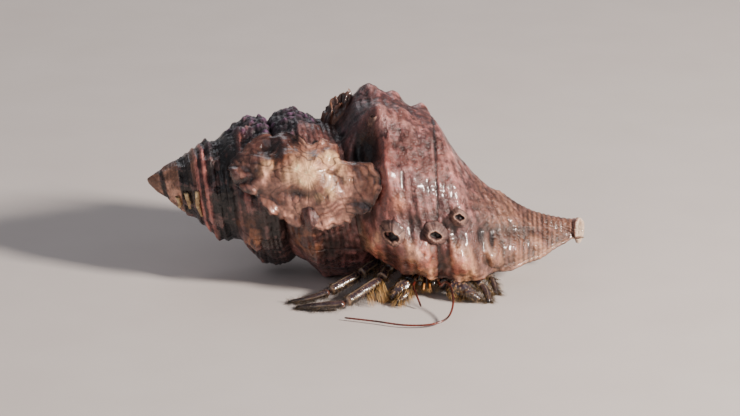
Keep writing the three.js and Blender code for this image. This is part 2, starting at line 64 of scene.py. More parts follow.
MOUTH_DEPTH = 0.6
CANAL_END = 3.4
COLUMNS = 380
WHORL_ROWS = 88
SPIRE_ROWS = 44
CANAL_ROWS = 118


# ---- small mathematics --------------------------------------------------------------------------
def smoothstep(low, high, x):
    """0 below low, 1 above high, an S curve between them."""
    u = np.clip((x - low) / (high - low), 0, 1)
    return u * u * (3 - 2 * u)


def mix(a, b, share):
    """a where share is 0, b where it is 1; share gains an axis when a or b are colours."""
    a, b, share = np.asarray(a, float), np.asarray(b, float), np.asarray(share, float)
    if max(a.ndim, b.ndim) > share.ndim or (a.shape[-1:] == (3,) and share.shape[-1:] != (1,)):
        share = share[..., None]
    return a + (b - a) * share


def bell(x, middle, width):
    """A bell curve of height 1."""
    return np.exp(-(((x - middle) / width) ** 2))


def smooth_table(x, places, values):
    """Curve through named points: cubics whose slopes are harmonic means, so it never overshoots."""
    at, v = np.asarray(places, float), np.asarray(values, float)
    gap = np.diff(at)
    step = np.diff(v) / gap
    product = step[:-1] * step[1:]
    total = np.where(product > 0, step[:-1] + step[1:], 1)
    slope = np.concatenate([step[:1], np.where(product > 0, 2 * product / total, 0), step[-1:]])
    x = np.clip(x, at[0], at[-1])
    k = np.clip(np.searchsorted(at, x, side="right") - 1, 0, len(at) - 2)
    u = (x - at[k]) / gap[k]
    left = v[k] * (1 + 2 * u) * (1 - u) ** 2 + slope[k] * gap[k] * u * (1 - u) ** 2
    return left + v[k + 1] * u * u * (3 - 2 * u) + slope[k + 1] * gap[k] * u * u * (u - 1)


def cell_value(i, j, k, seed):
    """A repeatable number in 0..1 for each whole-number cell, by integer mixing."""
    n = i.astype(np.int64).astype(np.uint32) * np.uint32(374761393)
    n += j.astype(np.int64).astype(np.uint32) * np.uint32(668265263)
    n += k.astype(np.int64).astype(np.uint32) * np.uint32(2246822519) + np.uint32(seed * 974711)
    n = (n ^ (n >> np.uint32(13))) * np.uint32(1274126177)
    return (n ^ (n >> np.uint32(16))).astype(float) / 4294967295.0


def noise(p, size, seed):
    """Smooth noise in -1..1: cell corners hold random values, blended with an S curve."""
    q = np.asarray(p, float) / size
    base = np.floor(q)
    u = q - base
    u = u * u * (3 - 2 * u)
    total = np.zeros(q.shape[:-1])
    for corner in range(8):
        step = np.array([corner & 1, (corner >> 1) & 1, corner >> 2])
        weight = np.prod(np.where(step == 1, u, 1 - u), axis=-1)
        at = base + step
        total += weight * cell_value(at[..., 0], at[..., 1], at[..., 2], seed)
    return 2 * total - 1


def rough(p, size, seed, octaves=4, fall=0.5):
    """Noise summed over octaves, each half the size and fall times the height of the last."""
    total = np.zeros(np.asarray(p).shape[:-1])
    weight = 1.0
    for octave in range(octaves):
        total += weight * noise(p, size / 2**octave, seed + octave)
        weight *= fall
    return total


def cells(p, size, seed):
    """Distance to the nearest and the second nearest random point, one point in every cell."""
    q = np.asarray(p, float) / size
    base = np.floor(q)
    first = np.full(q.shape[:-1], 9.0)
    second = first.copy()
    for index in range(27):
        at = base + np.array([index % 3 - 1, index // 3 % 3 - 1, index // 9 - 1])
        ijk = (at[..., 0], at[..., 1], at[..., 2])
        point = at + np.stack([cell_value(*ijk, seed + axis) for axis in range(3)], axis=-1)
        far = np.linalg.norm(point - q, axis=-1)
        second = np.minimum(second, np.maximum(first, far))
        first = np.minimum(first, far)
    return first, second


def line_noise(x, seed, octaves=4):
    """Noise along one line, in -1..1."""
    p = np.stack([x, np.full_like(x, 0.37), np.full_like(x, 0.61)], axis=-1)
    return rough(p, 1.0, seed, octaves)


def turned(degrees, middle):
    """Signed angle from middle, in -180..180."""
    return (degrees - middle + 180) % 360 - 180


def linear(code):
    """An sRGB hex colour as linear red, green, blue."""
    c = np.array([int(code[i : i + 2], 16) for i in (0, 2, 4)]) / 255
    return np.where(c <= 0.04045, c / 12.92, ((c + 0.055) / 1.055) ** 2.4)


def paint(tone, code, share):
    """Lays an sRGB hex colour over a tone by a share."""
    return mix(tone, linear(code), share)


def mottle(p, size, seed, octaves, first, second, low, high):
    """Two hex colours blended by noise: the first where it is below low, the second above high."""
    return mix(linear(first), linear(second), smoothstep(low, high, rough(p, size, seed, octaves)))


def unit_length(vectors):
    """Vectors scaled to length 1."""
    return vectors / np.linalg.norm(vectors, axis=-1, keepdims=True)


def round_angles(count):
    """Angles in radians, even round a circle, the first at 0."""
    return np.linspace(0, 2 * np.pi, count, endpoint=False)


def above_floor(p, gap):
    """Lifts the points that are lower than gap up to it, in place."""
    p[..., 2] = np.maximum(p[..., 2], gap)


# ---- meshes -------------------------------------------------------------------------------------
def grid_quads(rows, columns, close_columns=False, flip=False, start=0):
    """Quads of a rows x columns grid of points, row by row; close_columns joins the last to the first."""
    wide = columns if close_columns else columns - 1
    r, c = np.meshgrid(np.arange(rows - 1), np.arange(wide), indexing="ij")
    a = r * columns + c
    b = r * columns + (c + 1) % columns
    quads = np.stack([a, b, b + columns, a + columns], axis=-1).reshape(-1, 4) + start
    return quads[:, ::-1] if flip else quads


def fan(tip, loop, flip=False):
    """Triangles from a tip to each edge of a closed loop of points."""
    loop = np.asarray(loop)
    found = np.stack([np.full(len(loop), tip), loop, np.roll(loop, -1)], axis=-1)
    return found[:, ::-1] if flip else found


def zip_rows(first, second, places_first, places_second):
    """Triangles between two rows of points of unlike counts: each edge of one row goes to the point of
    the other that lies nearest along it, in step from end to end."""
    middle = 0.5 * (places_first[:-1] + places_first[1:])
    near = np.searchsorted(0.5 * (places_second[:-1] + places_second[1:]), middle)
    lower = np.stack([first[:-1], first[1:], second[near]], axis=-1)
    step = np.searchsorted(near, np.arange(len(second) - 1), side="right")
    upper = np.stack([second[:-1], second[1:], first[step]], axis=-1)
    return np.concatenate([lower, upper])


class Shape:
    """Points in millimetres with a colour and a wetness each, and faces, gathered piece by piece."""

    def __init__(self):
        """Starts with no points and no faces."""
        self.points, self.tints, self.quads, self.tris, self.count = [], [], [], [], 0

    def add(self, points, tint, wet=0.5, quads=None, tris=None):
        """Adds points with faces that count from 0 within these points."""
        points = np.asarray(points, float).reshape(-1, 3)
        tint = np.broadcast_to(np.asarray(tint, float).reshape(-1, 3), points.shape)
        wet = np.broadcast_to(np.asarray(wet, float).reshape(-1, 1), (len(points), 1))
        self.points.append(points)
        self.tints.append(np.concatenate([np.clip(tint, 0.001, 1), np.clip(wet, 0, 1)], axis=1))
        if quads is not None:
            self.quads.append(np.asarray(quads) + self.count)
        if tris is not None:
            self.tris.append(np.asarray(tris) + self.count)
        self.count += len(points)
        return self


def make_piece(name, shape, material, nodes=(), weld=0.0):
    """A mesh object from a Shape, smooth shaded, riding on the root body."""
    points = (np.concatenate(shape.points) + SHIFT) * MM
    quads = np.concatenate(shape.quads) if shape.quads else np.zeros((0, 4), int)
    tris = np.concatenate(shape.tris) if shape.tris else np.zeros((0, 3), int)
    mesh = bpy.data.meshes.new(name)
    mesh.vertices.add(len(points))
    mesh.vertices.foreach_set("co", points.astype(np.float32).ravel())
    loops = np.concatenate([quads.ravel(), tris.ravel()]).astype(np.int32)
    sizes = np.concatenate([np.full(len(quads), 4), np.full(len(tris), 3)])
    starts = np.concatenate([[0], np.cumsum(sizes)[:-1]]).astype(np.int32)
    mesh.loops.add(len(loops))
    mesh.loops.foreach_set("vertex_index", loops)
    mesh.polygons.add(len(sizes))
    mesh.polygons.foreach_set("loop_start", starts)
    mesh.polygons.foreach_set("use_smooth", np.ones(len(sizes), bool))
    tint = mesh.color_attributes.new("tint", "FLOAT_COLOR", "POINT")
    tint.data.foreach_set("color", np.concatenate(shape.tints).astype(np.float32).ravel())
    mesh.update(calc_edges=True)
    mesh.validate()
    if weld:
        work = bmesh.new()
        work.from_mesh(mesh)
        bmesh.ops.remove_doubles(work, verts=work.verts, dist=weld * MM)
        bmesh.ops.recalc_face_normals(work, faces=work.faces)
        work.to_mesh(mesh)
        work.free()
    mesh.materials.append(material)
    piece = bpy.data.objects.new(name, mesh)
    bpy.context.scene.collection.objects.link(piece)
    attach(piece, "root")
    if nodes:
        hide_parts(*nodes)
    return piece


# ---- materials ----------------------------------------------------------------------------------
def surface_material(name, grain, bump, dapple=0.35, dry=0.6, wet=0.2, coat=0.6, pits=0.0,
                     sheen=0.0, ior=1.5, deep=None):
    """Colour from the piece's tint, broken up by two noises; roughness from its wetness; fine bump.

    grain is the size of the fine noise in millimetres, bump its depth in millimetres, and pits
    the share of small round hollows in the bump.
    """
    made = bpy.data.materials.new(name)
    made.use_nodes = True
    nodes, links = made.node_tree.nodes, made.node_tree.links
    shader = nodes["Principled BSDF"]
    place = nodes.new("ShaderNodeTexCoord").outputs["Object"]
    tint = nodes.new("ShaderNodeAttribute")
    tint.attribute_name = "tint"

    def texture(size, detail, roughness=0.6):
        """Noise of a size in millimetres."""
        found = nodes.new("ShaderNodeTexNoise")
        found.inputs["Scale"].default_value = 1 / (size * MM)
        found.inputs["Detail"].default_value = detail
        found.inputs["Roughness"].default_value = roughness
        links.new(place, found.inputs["Vector"])
        return found.outputs["Fac"]

    def mapped(value, low, high, new_low, new_high):
        """A value moved from one range to another."""
        found = nodes.new("ShaderNodeMapRange")
        for socket, number in zip(found.inputs[1:5], (low, high, new_low, new_high)):
            socket.default_value = number
        links.new(value, found.inputs[0])
        return found.outputs[0]

    def maths(kind, a, b):
        """One sum or product of sockets or numbers."""
        found = nodes.new("ShaderNodeMath")
        found.operation = kind
        for socket, value in zip(found.inputs, (a, b)):
            if hasattr(value, "node"):
                links.new(value, socket)
            else:
                socket.default_value = value
        return found.outputs[0]

    coarse = texture(grain * 7, 5)
    fine = texture(grain, 4)
    shade = maths("MULTIPLY", mapped(coarse, 0.3, 0.7, 1 - dapple, 1 + dapple),
                  mapped(fine, 0.3, 0.7, 1 - 0.7 * dapple, 1 + 0.7 * dapple))
    tone = nodes.new("ShaderNodeMix")
    tone.data_type = "RGBA"
    tone.blend_type = "MULTIPLY"
    tone.inputs["Factor"].default_value = 1
    links.new(tint.outputs["Color"], tone.inputs["A"])
    links.new(shade, tone.inputs["B"])
    links.new(tone.outputs["Result"], shader.inputs["Base Color"])
    uneven = maths("ADD", tint.outputs["Alpha"], mapped(fine, 0.3, 0.7, -0.25, 0.25))
    links.new(mapped(uneven, 0, 1, dry, wet), shader.inputs["Roughness"])
    height = fine
    if pits:
        holes = nodes.new("ShaderNodeTexVoronoi")
        holes.inputs["Scale"].default_value = 1 / (grain * 2.5 * MM)
        links.new(place, holes.inputs["Vector"])
        hollows = mapped(holes.outputs["Distance"], 0, 0.4, 0, 1)
        height = maths("ADD", fine, maths("MULTIPLY", hollows, pits))
    relief = nodes.new("ShaderNodeBump")
    relief.inputs["Strength"].default_value = 1
    relief.inputs["Distance"].default_value = bump * MM
    links.new(height, relief.inputs["Height"])
    links.new(relief.outputs["Normal"], shader.inputs["Normal"])
    shader.inputs["Coat Weight"].default_value = coat
    shader.inputs["Coat Roughness"].default_value = 0.09
    shader.inputs["IOR"].default_value = ior
    if sheen:
        shader.inputs["Sheen Weight"].default_value = sheen
    if deep:
        shader.inputs["Subsurface Weight"].default_value = deep
        shader.inputs["Subsurface Scale"].default_value = 0.6 * MM
    return made


SHELL_LOOK = surface_material("shell_wet", 0.6, 0.3, dapple=0.42, dry=0.6, wet=0.24, coat=0.42, pits=0.6)
OYSTER_LOOK = surface_material("oyster_wet", 0.5, 0.16, dapple=0.3, dry=0.55, wet=0.14, coat=0.7)
BARNACLE_LOOK = surface_material("barnacle_plates", 0.3, 0.07, dapple=0.3, dry=0.75, wet=0.35, coat=0.2)
TUBE_LOOK = surface_material("lime_tube", 0.3, 0.05, dapple=0.25, dry=0.7, wet=0.3, coat=0.3)
CUTICLE_LOOK = surface_material("cuticle", 0.22, 0.035, dapple=0.3, dry=0.5, wet=0.12, coat=0.8, pits=0.4)
SOFT_LOOK = surface_material("soft_skin", 0.5, 0.03, dapple=0.15, dry=0.5, wet=0.2, coat=0.5, deep=0.15)
FEELER_LOOK = surface_material("feeler", 0.2, 0.02, dapple=0.25, dry=0.5, wet=0.2, coat=0.5)
BRISTLE_LOOK = surface_material("bristle", 0.3, 0.01, dapple=0.35, dry=0.55, wet=0.3, coat=0.2)
EYE_LOOK = surface_material("eye", 0.12, 0.006, dapple=0.2, dry=0.2, wet=0.05, coat=1.0)

# ---- the snail shell ----------------------------------------------------------------------------
HOLLOW_DEPTH = 3.6
APEX_DOME = 1.35
SHELL_CAST = np.array([0.98, 0.76, 0.88])
OYSTER_CAST = np.array([0.97, 0.82, 0.8])
# Turns t are counted back from the lip; s is the share of the whorl's height, 0 at the suture.
PROFILE_AT = [0.15, 0.2, 0.3, 0.36, 0.5, 0.65, 0.8, 0.9, 1, 1.08, 1.16, 1.32, 1.53, 1.69, 1.85, 2.2, 6]
PROFILE = [0.825, 0.88, 0.965, 1, 0.985, 0.97, 0.93, 0.91, 0.9, 0.82, 0.7, 0.5, 0.3, 0.19, 0.11, 0.03, 0]
FLANGE_AT = [0, 1, 1.18, 1.27, 1.456, 1.64, 1.83, 1.965, 2.1, 6]
FLANGE = [0, 0.5, 2.6, 4.8, 6.3, 6, 3.6, 1.2, 0, 0]
CANAL_AT = [0, 81, 91.8, 95, 97.7, 103.1, 108.5, 113.9, 115.8, 117.7]
CANAL = [0, 3.5, 5, 6.4, 5.8, 4.1, 3.2, 2.8, 2.9, 3.4]
SPIRE_AT = [0, 0.05, 0.12, 0.3, 0.5, 0.75, 0.9, 1]
SPIRE = [0.87, 0.925, 0.965, 1, 1, 0.985, 0.95, 0.87]


def growth(t):
    """Size of the shell t turns back, against the lip."""
    return AXIAL_GROWTH**-t


def suture_at(t):
    """Axial place of the suture: an exponential spiral, moved back by the apex offset."""
    return SUTURE_REACH * growth(t) - APEX_OFFSET


def whorl_height(t):
    """Axial distance from one suture to the next."""
    return SUTURE_REACH * growth(t) * (AXIAL_GROWTH - 1)


def shoulder_radius(t):
    """Radius of the shoulder: slope d / (1 + bend d), drawn in at the lip and worn at the belly."""
    d = np.maximum(SHOULDER_REACH * growth(t) - APEX_OFFSET, 0)
    near_lip = 0.065 * np.exp(-np.maximum(t, 0) / 0.14)
    worn = 0.085 * bell(t, 0.85, 0.17) + 0.095 * bell(t, 1.33, 0.13)
    return SHOULDER_SLOPE * d / (1 + SHOULDER_BEND * d) * (1 - near_lip - worn)


def centre_height(d):
    """Height of the line that the whorls are centred on, a quartic that sags towards the canal."""
    return 25.53 - 0.10004 * d + 3.5733e-3 * d**2 - 7.1101e-5 * d**3 + 3.3522e-7 * d**4


def place(d, radius, degrees):
    """A point at distance d from the apex, at a radius and an angle from straight up, turning to -Y."""
    a = np.radians(degrees)
    return np.stack([APEX_X + d, -radius * np.sin(a), centre_height(d) + radius * np.cos(a)], axis=-1)


def spot(d, degrees, at, size, radius=24.0):
    """A soft round patch on the shell: 1 at the place `at`, falling off over size (along, around)."""
    around = np.radians(turned(degrees, at[1])) * radius
    return np.exp(-(((d - at[0]) / size[0]) ** 2) - (around / size[1]) ** 2)


def spire_phase(d, t):
    """Whorls counted along the spire: the logarithm of the distance from the apex less the turn, so
    that whole numbers lie on the spire's deep spiral grooves."""
    back = np.log(SUTURE_REACH / (np.maximum(d, -4.0) + APEX_OFFSET)) / np.log(AXIAL_GROWTH)
    return 0.75 * back - t + (LIP_ANGLE - 72) / 360 - 0.72


def spire_bulge(d, t):
    """Round whorls between sharp grooves: one less a share of what a half sine wave leaves."""
    return 1.015 - 0.15 * (1 - np.abs(np.sin(np.pi * spire_phase(d, t))) ** 0.7)


def smooth_radius(d, t):
    """The whorl without its relief: profile times shoulder radius, lip flange and canal, joined as
    the fourth root of a sum of fourth powers; towards the apex each whorl is a shallow bulge on the
    cone instead."""
    s = (d - suture_at(t)) / whorl_height(t)
    size = shoulder_radius(t)
    body = size * smooth_table(s, PROFILE_AT, PROFILE)
    edge = 0.9 * shoulder_radius(t + 1)
    body = np.where(s < 0.15, edge + (size * PROFILE[0] - edge) * np.clip(s / 0.15, 0, 1), body)
    body = body + smooth_table(s, FLANGE_AT, FLANGE) * np.exp(-np.maximum(t, 0) / 0.12)
    along = np.maximum(d, 0)
    cone = SHOULDER_SLOPE * along / (1 + SHOULDER_BEND * along)
    cone = cone + APEX_DOME * (1 - np.exp(-along / 0.45)) * np.exp(-along / 2.6)
    bulge = mix(smooth_table(s, SPIRE_AT, SPIRE), spire_bulge(d, t), smoothstep(31, 24, d))
    body = mix(body, cone * bulge, smoothstep(46, 32, d))
    return (np.maximum(body, 0.02) ** 4 + smooth_table(d, CANAL_AT, CANAL) ** 4) ** 0.25


def edge_fade(s, t):
    """1 on a whorl's face and 0 on its sutures, so that neighbouring whorls meet exactly."""
    end = smoothstep(0, 0.1, 1 - s)
    free = np.where(t >= 1, end, mix(1.0, end, smoothstep(0.94, 1, t)))
    return smoothstep(0, 0.15, s) * free


def knob_wave(t):
    """1 on each knob's crest and 0 between knobs, about ten to a turn."""
    return 0.5 + 0.5 * np.cos(2 * np.pi * (t - KNOB_PHASE) * KNOBS_PER_TURN)


def knobs(s, t):
    """Shoulder knobs: a bell across the shoulder times the wave round it, each of its own height."""
    worn = (1 - 0.8 * bell(t, 0.84, 0.1)) * (1 - 0.7 * bell(t, 1.33, 0.13))
    small = np.minimum(1, shoulder_radius(t) / FULL_RELIEF_RADIUS)
    fade = (1 - 0.75 * np.exp(-np.maximum(t, 0) / 0.09)) * worn * small
    own = 1 + 0.35 * line_noise((t - KNOB_PHASE) * KNOBS_PER_TURN, 31, 1)
    tail = 0.35 * bell(s, 0.62, 0.22)
    return KNOB_HEIGHT * own * fade * knob_wave(t) ** 1.5 * (bell(s, 0.36, 0.16) + tail)


def cords(s, t):
    """Spiral cords: broad ones that swell into ribs at the lip, with three threads to each."""
    fade = np.minimum(1, shoulder_radius(t) / FULL_RELIEF_RADIUS)
    base = np.exp(-(((s - 0.8) / 0.9) ** 4))
    wander = 0.02 * line_noise(t * 9, 41, 3)
    broad = (0.16 + 0.2 * np.exp(-np.maximum(t, 0) / 0.05)) * base
    wave = -np.cos(2 * np.pi * (s + wander) / CORD_PITCH)
    rib = np.sign(wave) * np.abs(wave) ** 0.8
    threads = -np.cos(2 * np.pi * (s + wander) * 3 / CORD_PITCH)
    fine = -np.cos(2 * np.pi * (s + wander) * 9 / CORD_PITCH)
    calm = mix(1.0, 0.5, smoothstep(0.08, 0.2, t) * smoothstep(1.05, 0.9, t))
    return fade * calm * (broad * rib + 0.13 * threads + 0.045 * fine * np.minimum(1, 4 * np.maximum(t, 0)))


LIP_NODULES = ((0.11, 0.12), (0.56, 0.125), (0.95, 0.12), (1.26, 0.085), (1.48, 0.075), (1.68, 0.07))


def lip_nodules(s):
    """Round swellings along the lip: a sum of bells, wider towards the shoulder."""
    return np.minimum(sum(bell(s, middle, width) for middle, width in LIP_NODULES), 1.15)


def inside_lip(s, t):
    """1 along the lip between the suture and the canal, only on the last turn."""
    return np.where(t < 1, smoothstep(0.3, 0.6, s) * smoothstep(1.9, 1.6, s), 0.0)


def lip_swelling(s, t):
    """The thickened lip: a roll beside the mouth, broken into round nodules by the cords, with a
    trough behind it."""
    inside = smoothstep(0.02, 0.14, s) * smoothstep(2.02, 1.75, s)
    nodule = lip_nodules(s)
    roll = bell(t, 0.043, 0.025) * (0.1 + 2.9 * nodule)
    return inside * (roll - 1.1 * bell(t, 0.088, 0.02) * (0.5 + 0.5 * nodule))


def growth_lines(d, s, t):
    """Axial growth lines: noise along the turn, bent forwards over the whorl, with raised stops."""
    along = t + 0.012 * np.sin(2.4 * s) + 0.002 * line_noise(d * 0.5, 51, 2)
    lines = line_noise(along * 130, 52, 3)
    stops = np.maximum(line_noise(along * 22, 53, 2), 0) ** 2
    return np.minimum(1, shoulder_radius(t) / 20) * (0.09 * lines + 0.34 * stops)


def crust_mask(p, d, degrees):
    """Where the knobbly crust grows: the upper side of the middle whorls, with a ragged edge."""
    ragged = 0.35 * rough(p, 7, 61, 3)
    region = spot(d, degrees, (33, -18), (11, 17), 18) + 0.75 * spot(d, degrees, (47, -62), (9, 18), 24)
    return smoothstep(0.3, 0.62, region + ragged)


def cavity(height, reach=3):
    """How far each point of a grid stands above the mean of its neighbours: painted shade and dirt follow the
    hollows, painted highlight and wear the crests.
    """
    padded = np.pad(height, reach, mode="edge")
    rows, columns = height.shape
    total = np.zeros_like(height)
    steps = [(i, j) for i in range(0, 2 * reach + 1, 2) for j in range(0, 2 * reach + 1, 2)]
    for i, j in steps:
        total += padded[i : i + rows, j : j + columns]
    return height - total / len(steps)


# Knobs above the shoulder row: height, place and size.
TOP_KNOBS = [
    (0.9, (60.0, -8), (4.4, 5.5)),
    (2.1, (66.8, -17), (2.3, 3.2)),
    (2.0, (73.8, -19), (2.1, 3.0)),
    (1.3, (68.6, 15), (1.8, 2.2)),
    (0.7, (62.0, 22), (2.4, 3.2)),
]


def ramp_hollow(d, degrees, t):
    """The deep worn hollow in the ramp of the last whorl: a soft oval, steeper towards the ridge."""
    side = spot(d, degrees, (58.7, 43), (3.9, 7.2), 28)
    return np.where(t < 1, smoothstep(0.08, 0.85, side), 0.0)


def shell_skin(d, t):
    """Point, colour and wetness of the shell's outer skin at axial distance d, t turns back."""
    s = (d - suture_at(t)) / whorl_height(t)
    degrees = LIP_ANGLE - 360 * t
    base = smooth_radius(d, t)
    p = place(d, base, degrees)
    size = shoulder_radius(t)
    fade = edge_fade(s, t)
    knob = knobs(s, t) * fade
    cord = cords(s, t) * fade
    line = growth_lines(d, s, t) * fade
    swelling = np.where(t < 1, lip_swelling(s, t), 0.0)
    small = np.minimum(1, size / 24)
    crest = -0.9 * bell(s, 0.335, 0.07) * fade * small * (1 - 0.5 * knob_wave(t))
    broad = 0.6 * rough(p, 11, 71, 2) * small
    middle = 0.3 * rough(p, 4.2, 72, 3) * np.minimum(1, size / 14)
    fine = 0.15 * rough(p, 1.25, 73, 3) * np.minimum(1, size / 8)
    crust = crust_mask(p, d, degrees)
    first, second = cells(p + 0.5 * noise(p, 2.2, 75)[..., None], 2.7, 74)
    lumps = crust * (0.35 - 1.3 * first + 0.6 * np.minimum(second - first, 0.5))
    pit_first, _ = cells(p, 3.3, 78)
    pitted = -0.3 * smoothstep(0.17, 0.06, pit_first) * small
    outer = np.where(t < 2.2, 1.0, 0.0)
    hollow = ramp_hollow(d, degrees, t)
    around = turned(degrees, 0)
    ridge = bell(d, 64.0, 1.8) * smoothstep(36, 48, around) * smoothstep(92, 76, around)
    ridge = ridge * np.where(t < 1, 1.0, 0.0)
    lump = spot(d, degrees, (67.6, 74), (1.5, 1.6)) * outer
    chip = spot(d, degrees, (68.6, 61), (0.8, 1.6)) * outer
    hump = spot(d, degrees, (95, 20), (3, 5), 7)
    holes = spot(d, degrees, (89.1, 87), (0.9, 1.0), 14) + spot(d, degrees, (92.3, 91), (0.8, 1.1), 10)
    low_knobs = spot(d, degrees, (28.2, 122), (3.4, 4.4), 16) + spot(d, degrees, (42.7, 112), (3.2, 4), 21)
    saddle = bell(d, 67.5, 8) * bell(turned(degrees, -8), 0, 34) * outer
    top_knobs = sum(tall * spot(d, degrees, at, size, 31) for tall, at, size in TOP_KNOBS) * outer
    seam = bell(d, 76.2 + 2 * (turned(degrees, -26)) / 136, 0.35) * smoothstep(1, 0.9, t) * outer
    extra = (-HOLLOW_DEPTH * hollow * fade - 0.9 * saddle + 1.2 * ridge + 0.9 * lump - 0.8 * chip
             + 0.5 * hump - 0.9 * holes + 2.1 * low_knobs * outer + top_knobs - 0.3 * seam)
    end = smoothstep(SHELL_LENGTH - 2.4, SHELL_LENGTH - 0.2, d)
    lip_edge = np.exp(-np.maximum(t, 0) / 0.02)
    scallop = -0.35 * lip_edge * smoothstep(0.1, 0.3, s) * (0.5 + 0.5 * np.cos(2 * np.pi * s / CORD_PITCH))
    rings = np.cos(2 * np.pi * 5 * spire_phase(d, t))
    spire_cord = 0.24 * rings * smoothstep(8, 12, d) * smoothstep(36, 28, d)
    relief = (knob + cord + spire_cord + line + broad + middle + fine + lumps + pitted + extra
              + scallop + swelling + crest)
    uneven = np.clip(0.8 + 0.9 * rough(p, 5, 79, 2), 0.1, 1.6)
    threads = np.cos(2 * np.pi * (d + 0.3 * uneven) / 1.35)
    canal_thread = -0.1 * threads * uneven * smoothstep(92, 97, d) * (1 - end)
    relief = relief * mix(1.0, 0.5, smoothstep(90, 102, d)) + canal_thread
    a = np.radians(degrees)
    flare = end * (0.3 * np.sin(3 * a + 0.6) + 0.35 * np.sin(a - 0.9))
    radius = mix(np.maximum(base + relief, 0.02), CANAL_END, end) + flare
    p = place(d, radius, degrees)
    p[..., 0] -= 2.3 * end * (0.5 + 0.5 * np.sin(np.radians(degrees + 10)))
    # small flats where the shell rests on the floor
    above_floor(p, 0)

    colour = shell_colours(p, d, degrees, s, t, knob, line, crust, first)
    # painted shade in the trough behind the lip's roll
    colour = mix(colour, colour * 0.4, np.clip(1.2 * bell(t, 0.09, 0.022) * inside_lip(s, t), 0, 0.8))
    # painted shade and dirt darken the hollows; painted highlight and wear lighten the crests
    relief_shade_and_wear = cavity(radius * (1 - end))
    colour = mix(colour, colour * 0.3, np.clip(-5.5 * relief_shade_and_wear, 0, 0.8))
    colour = mix(colour, colour * 1.7 + 0.015, np.clip(5 * relief_shade_and_wear, 0, 0.75))
    colour = paint(colour, "7c3a30", np.clip(0.55 * ridge + 0.15 * lump, 0, 1))
    colour = paint(colour, "d98d6c", np.clip(0.75 * lump, 0, 1))
    # painted shade: near black in the ramp's hollow, in the small holes and along the seam
    colour = paint(colour, "0c080b", np.clip(1.1 * hollow + 0.85 * holes + 0.6 * seam, 0, 0.96))
    warm = mottle(p, 1.8, 95, 3, "4a2018", "b0704c", -0.4, 0.5)
    colour = mix(colour, warm, np.clip(0.75 * low_knobs * outer, 0, 1))
    wet = 0.62 + 0.3 * rough(p, 6, 77, 3) + 0.25 * knob - 0.35 * crust + 0.2 * ridge
    return p, colour, wet


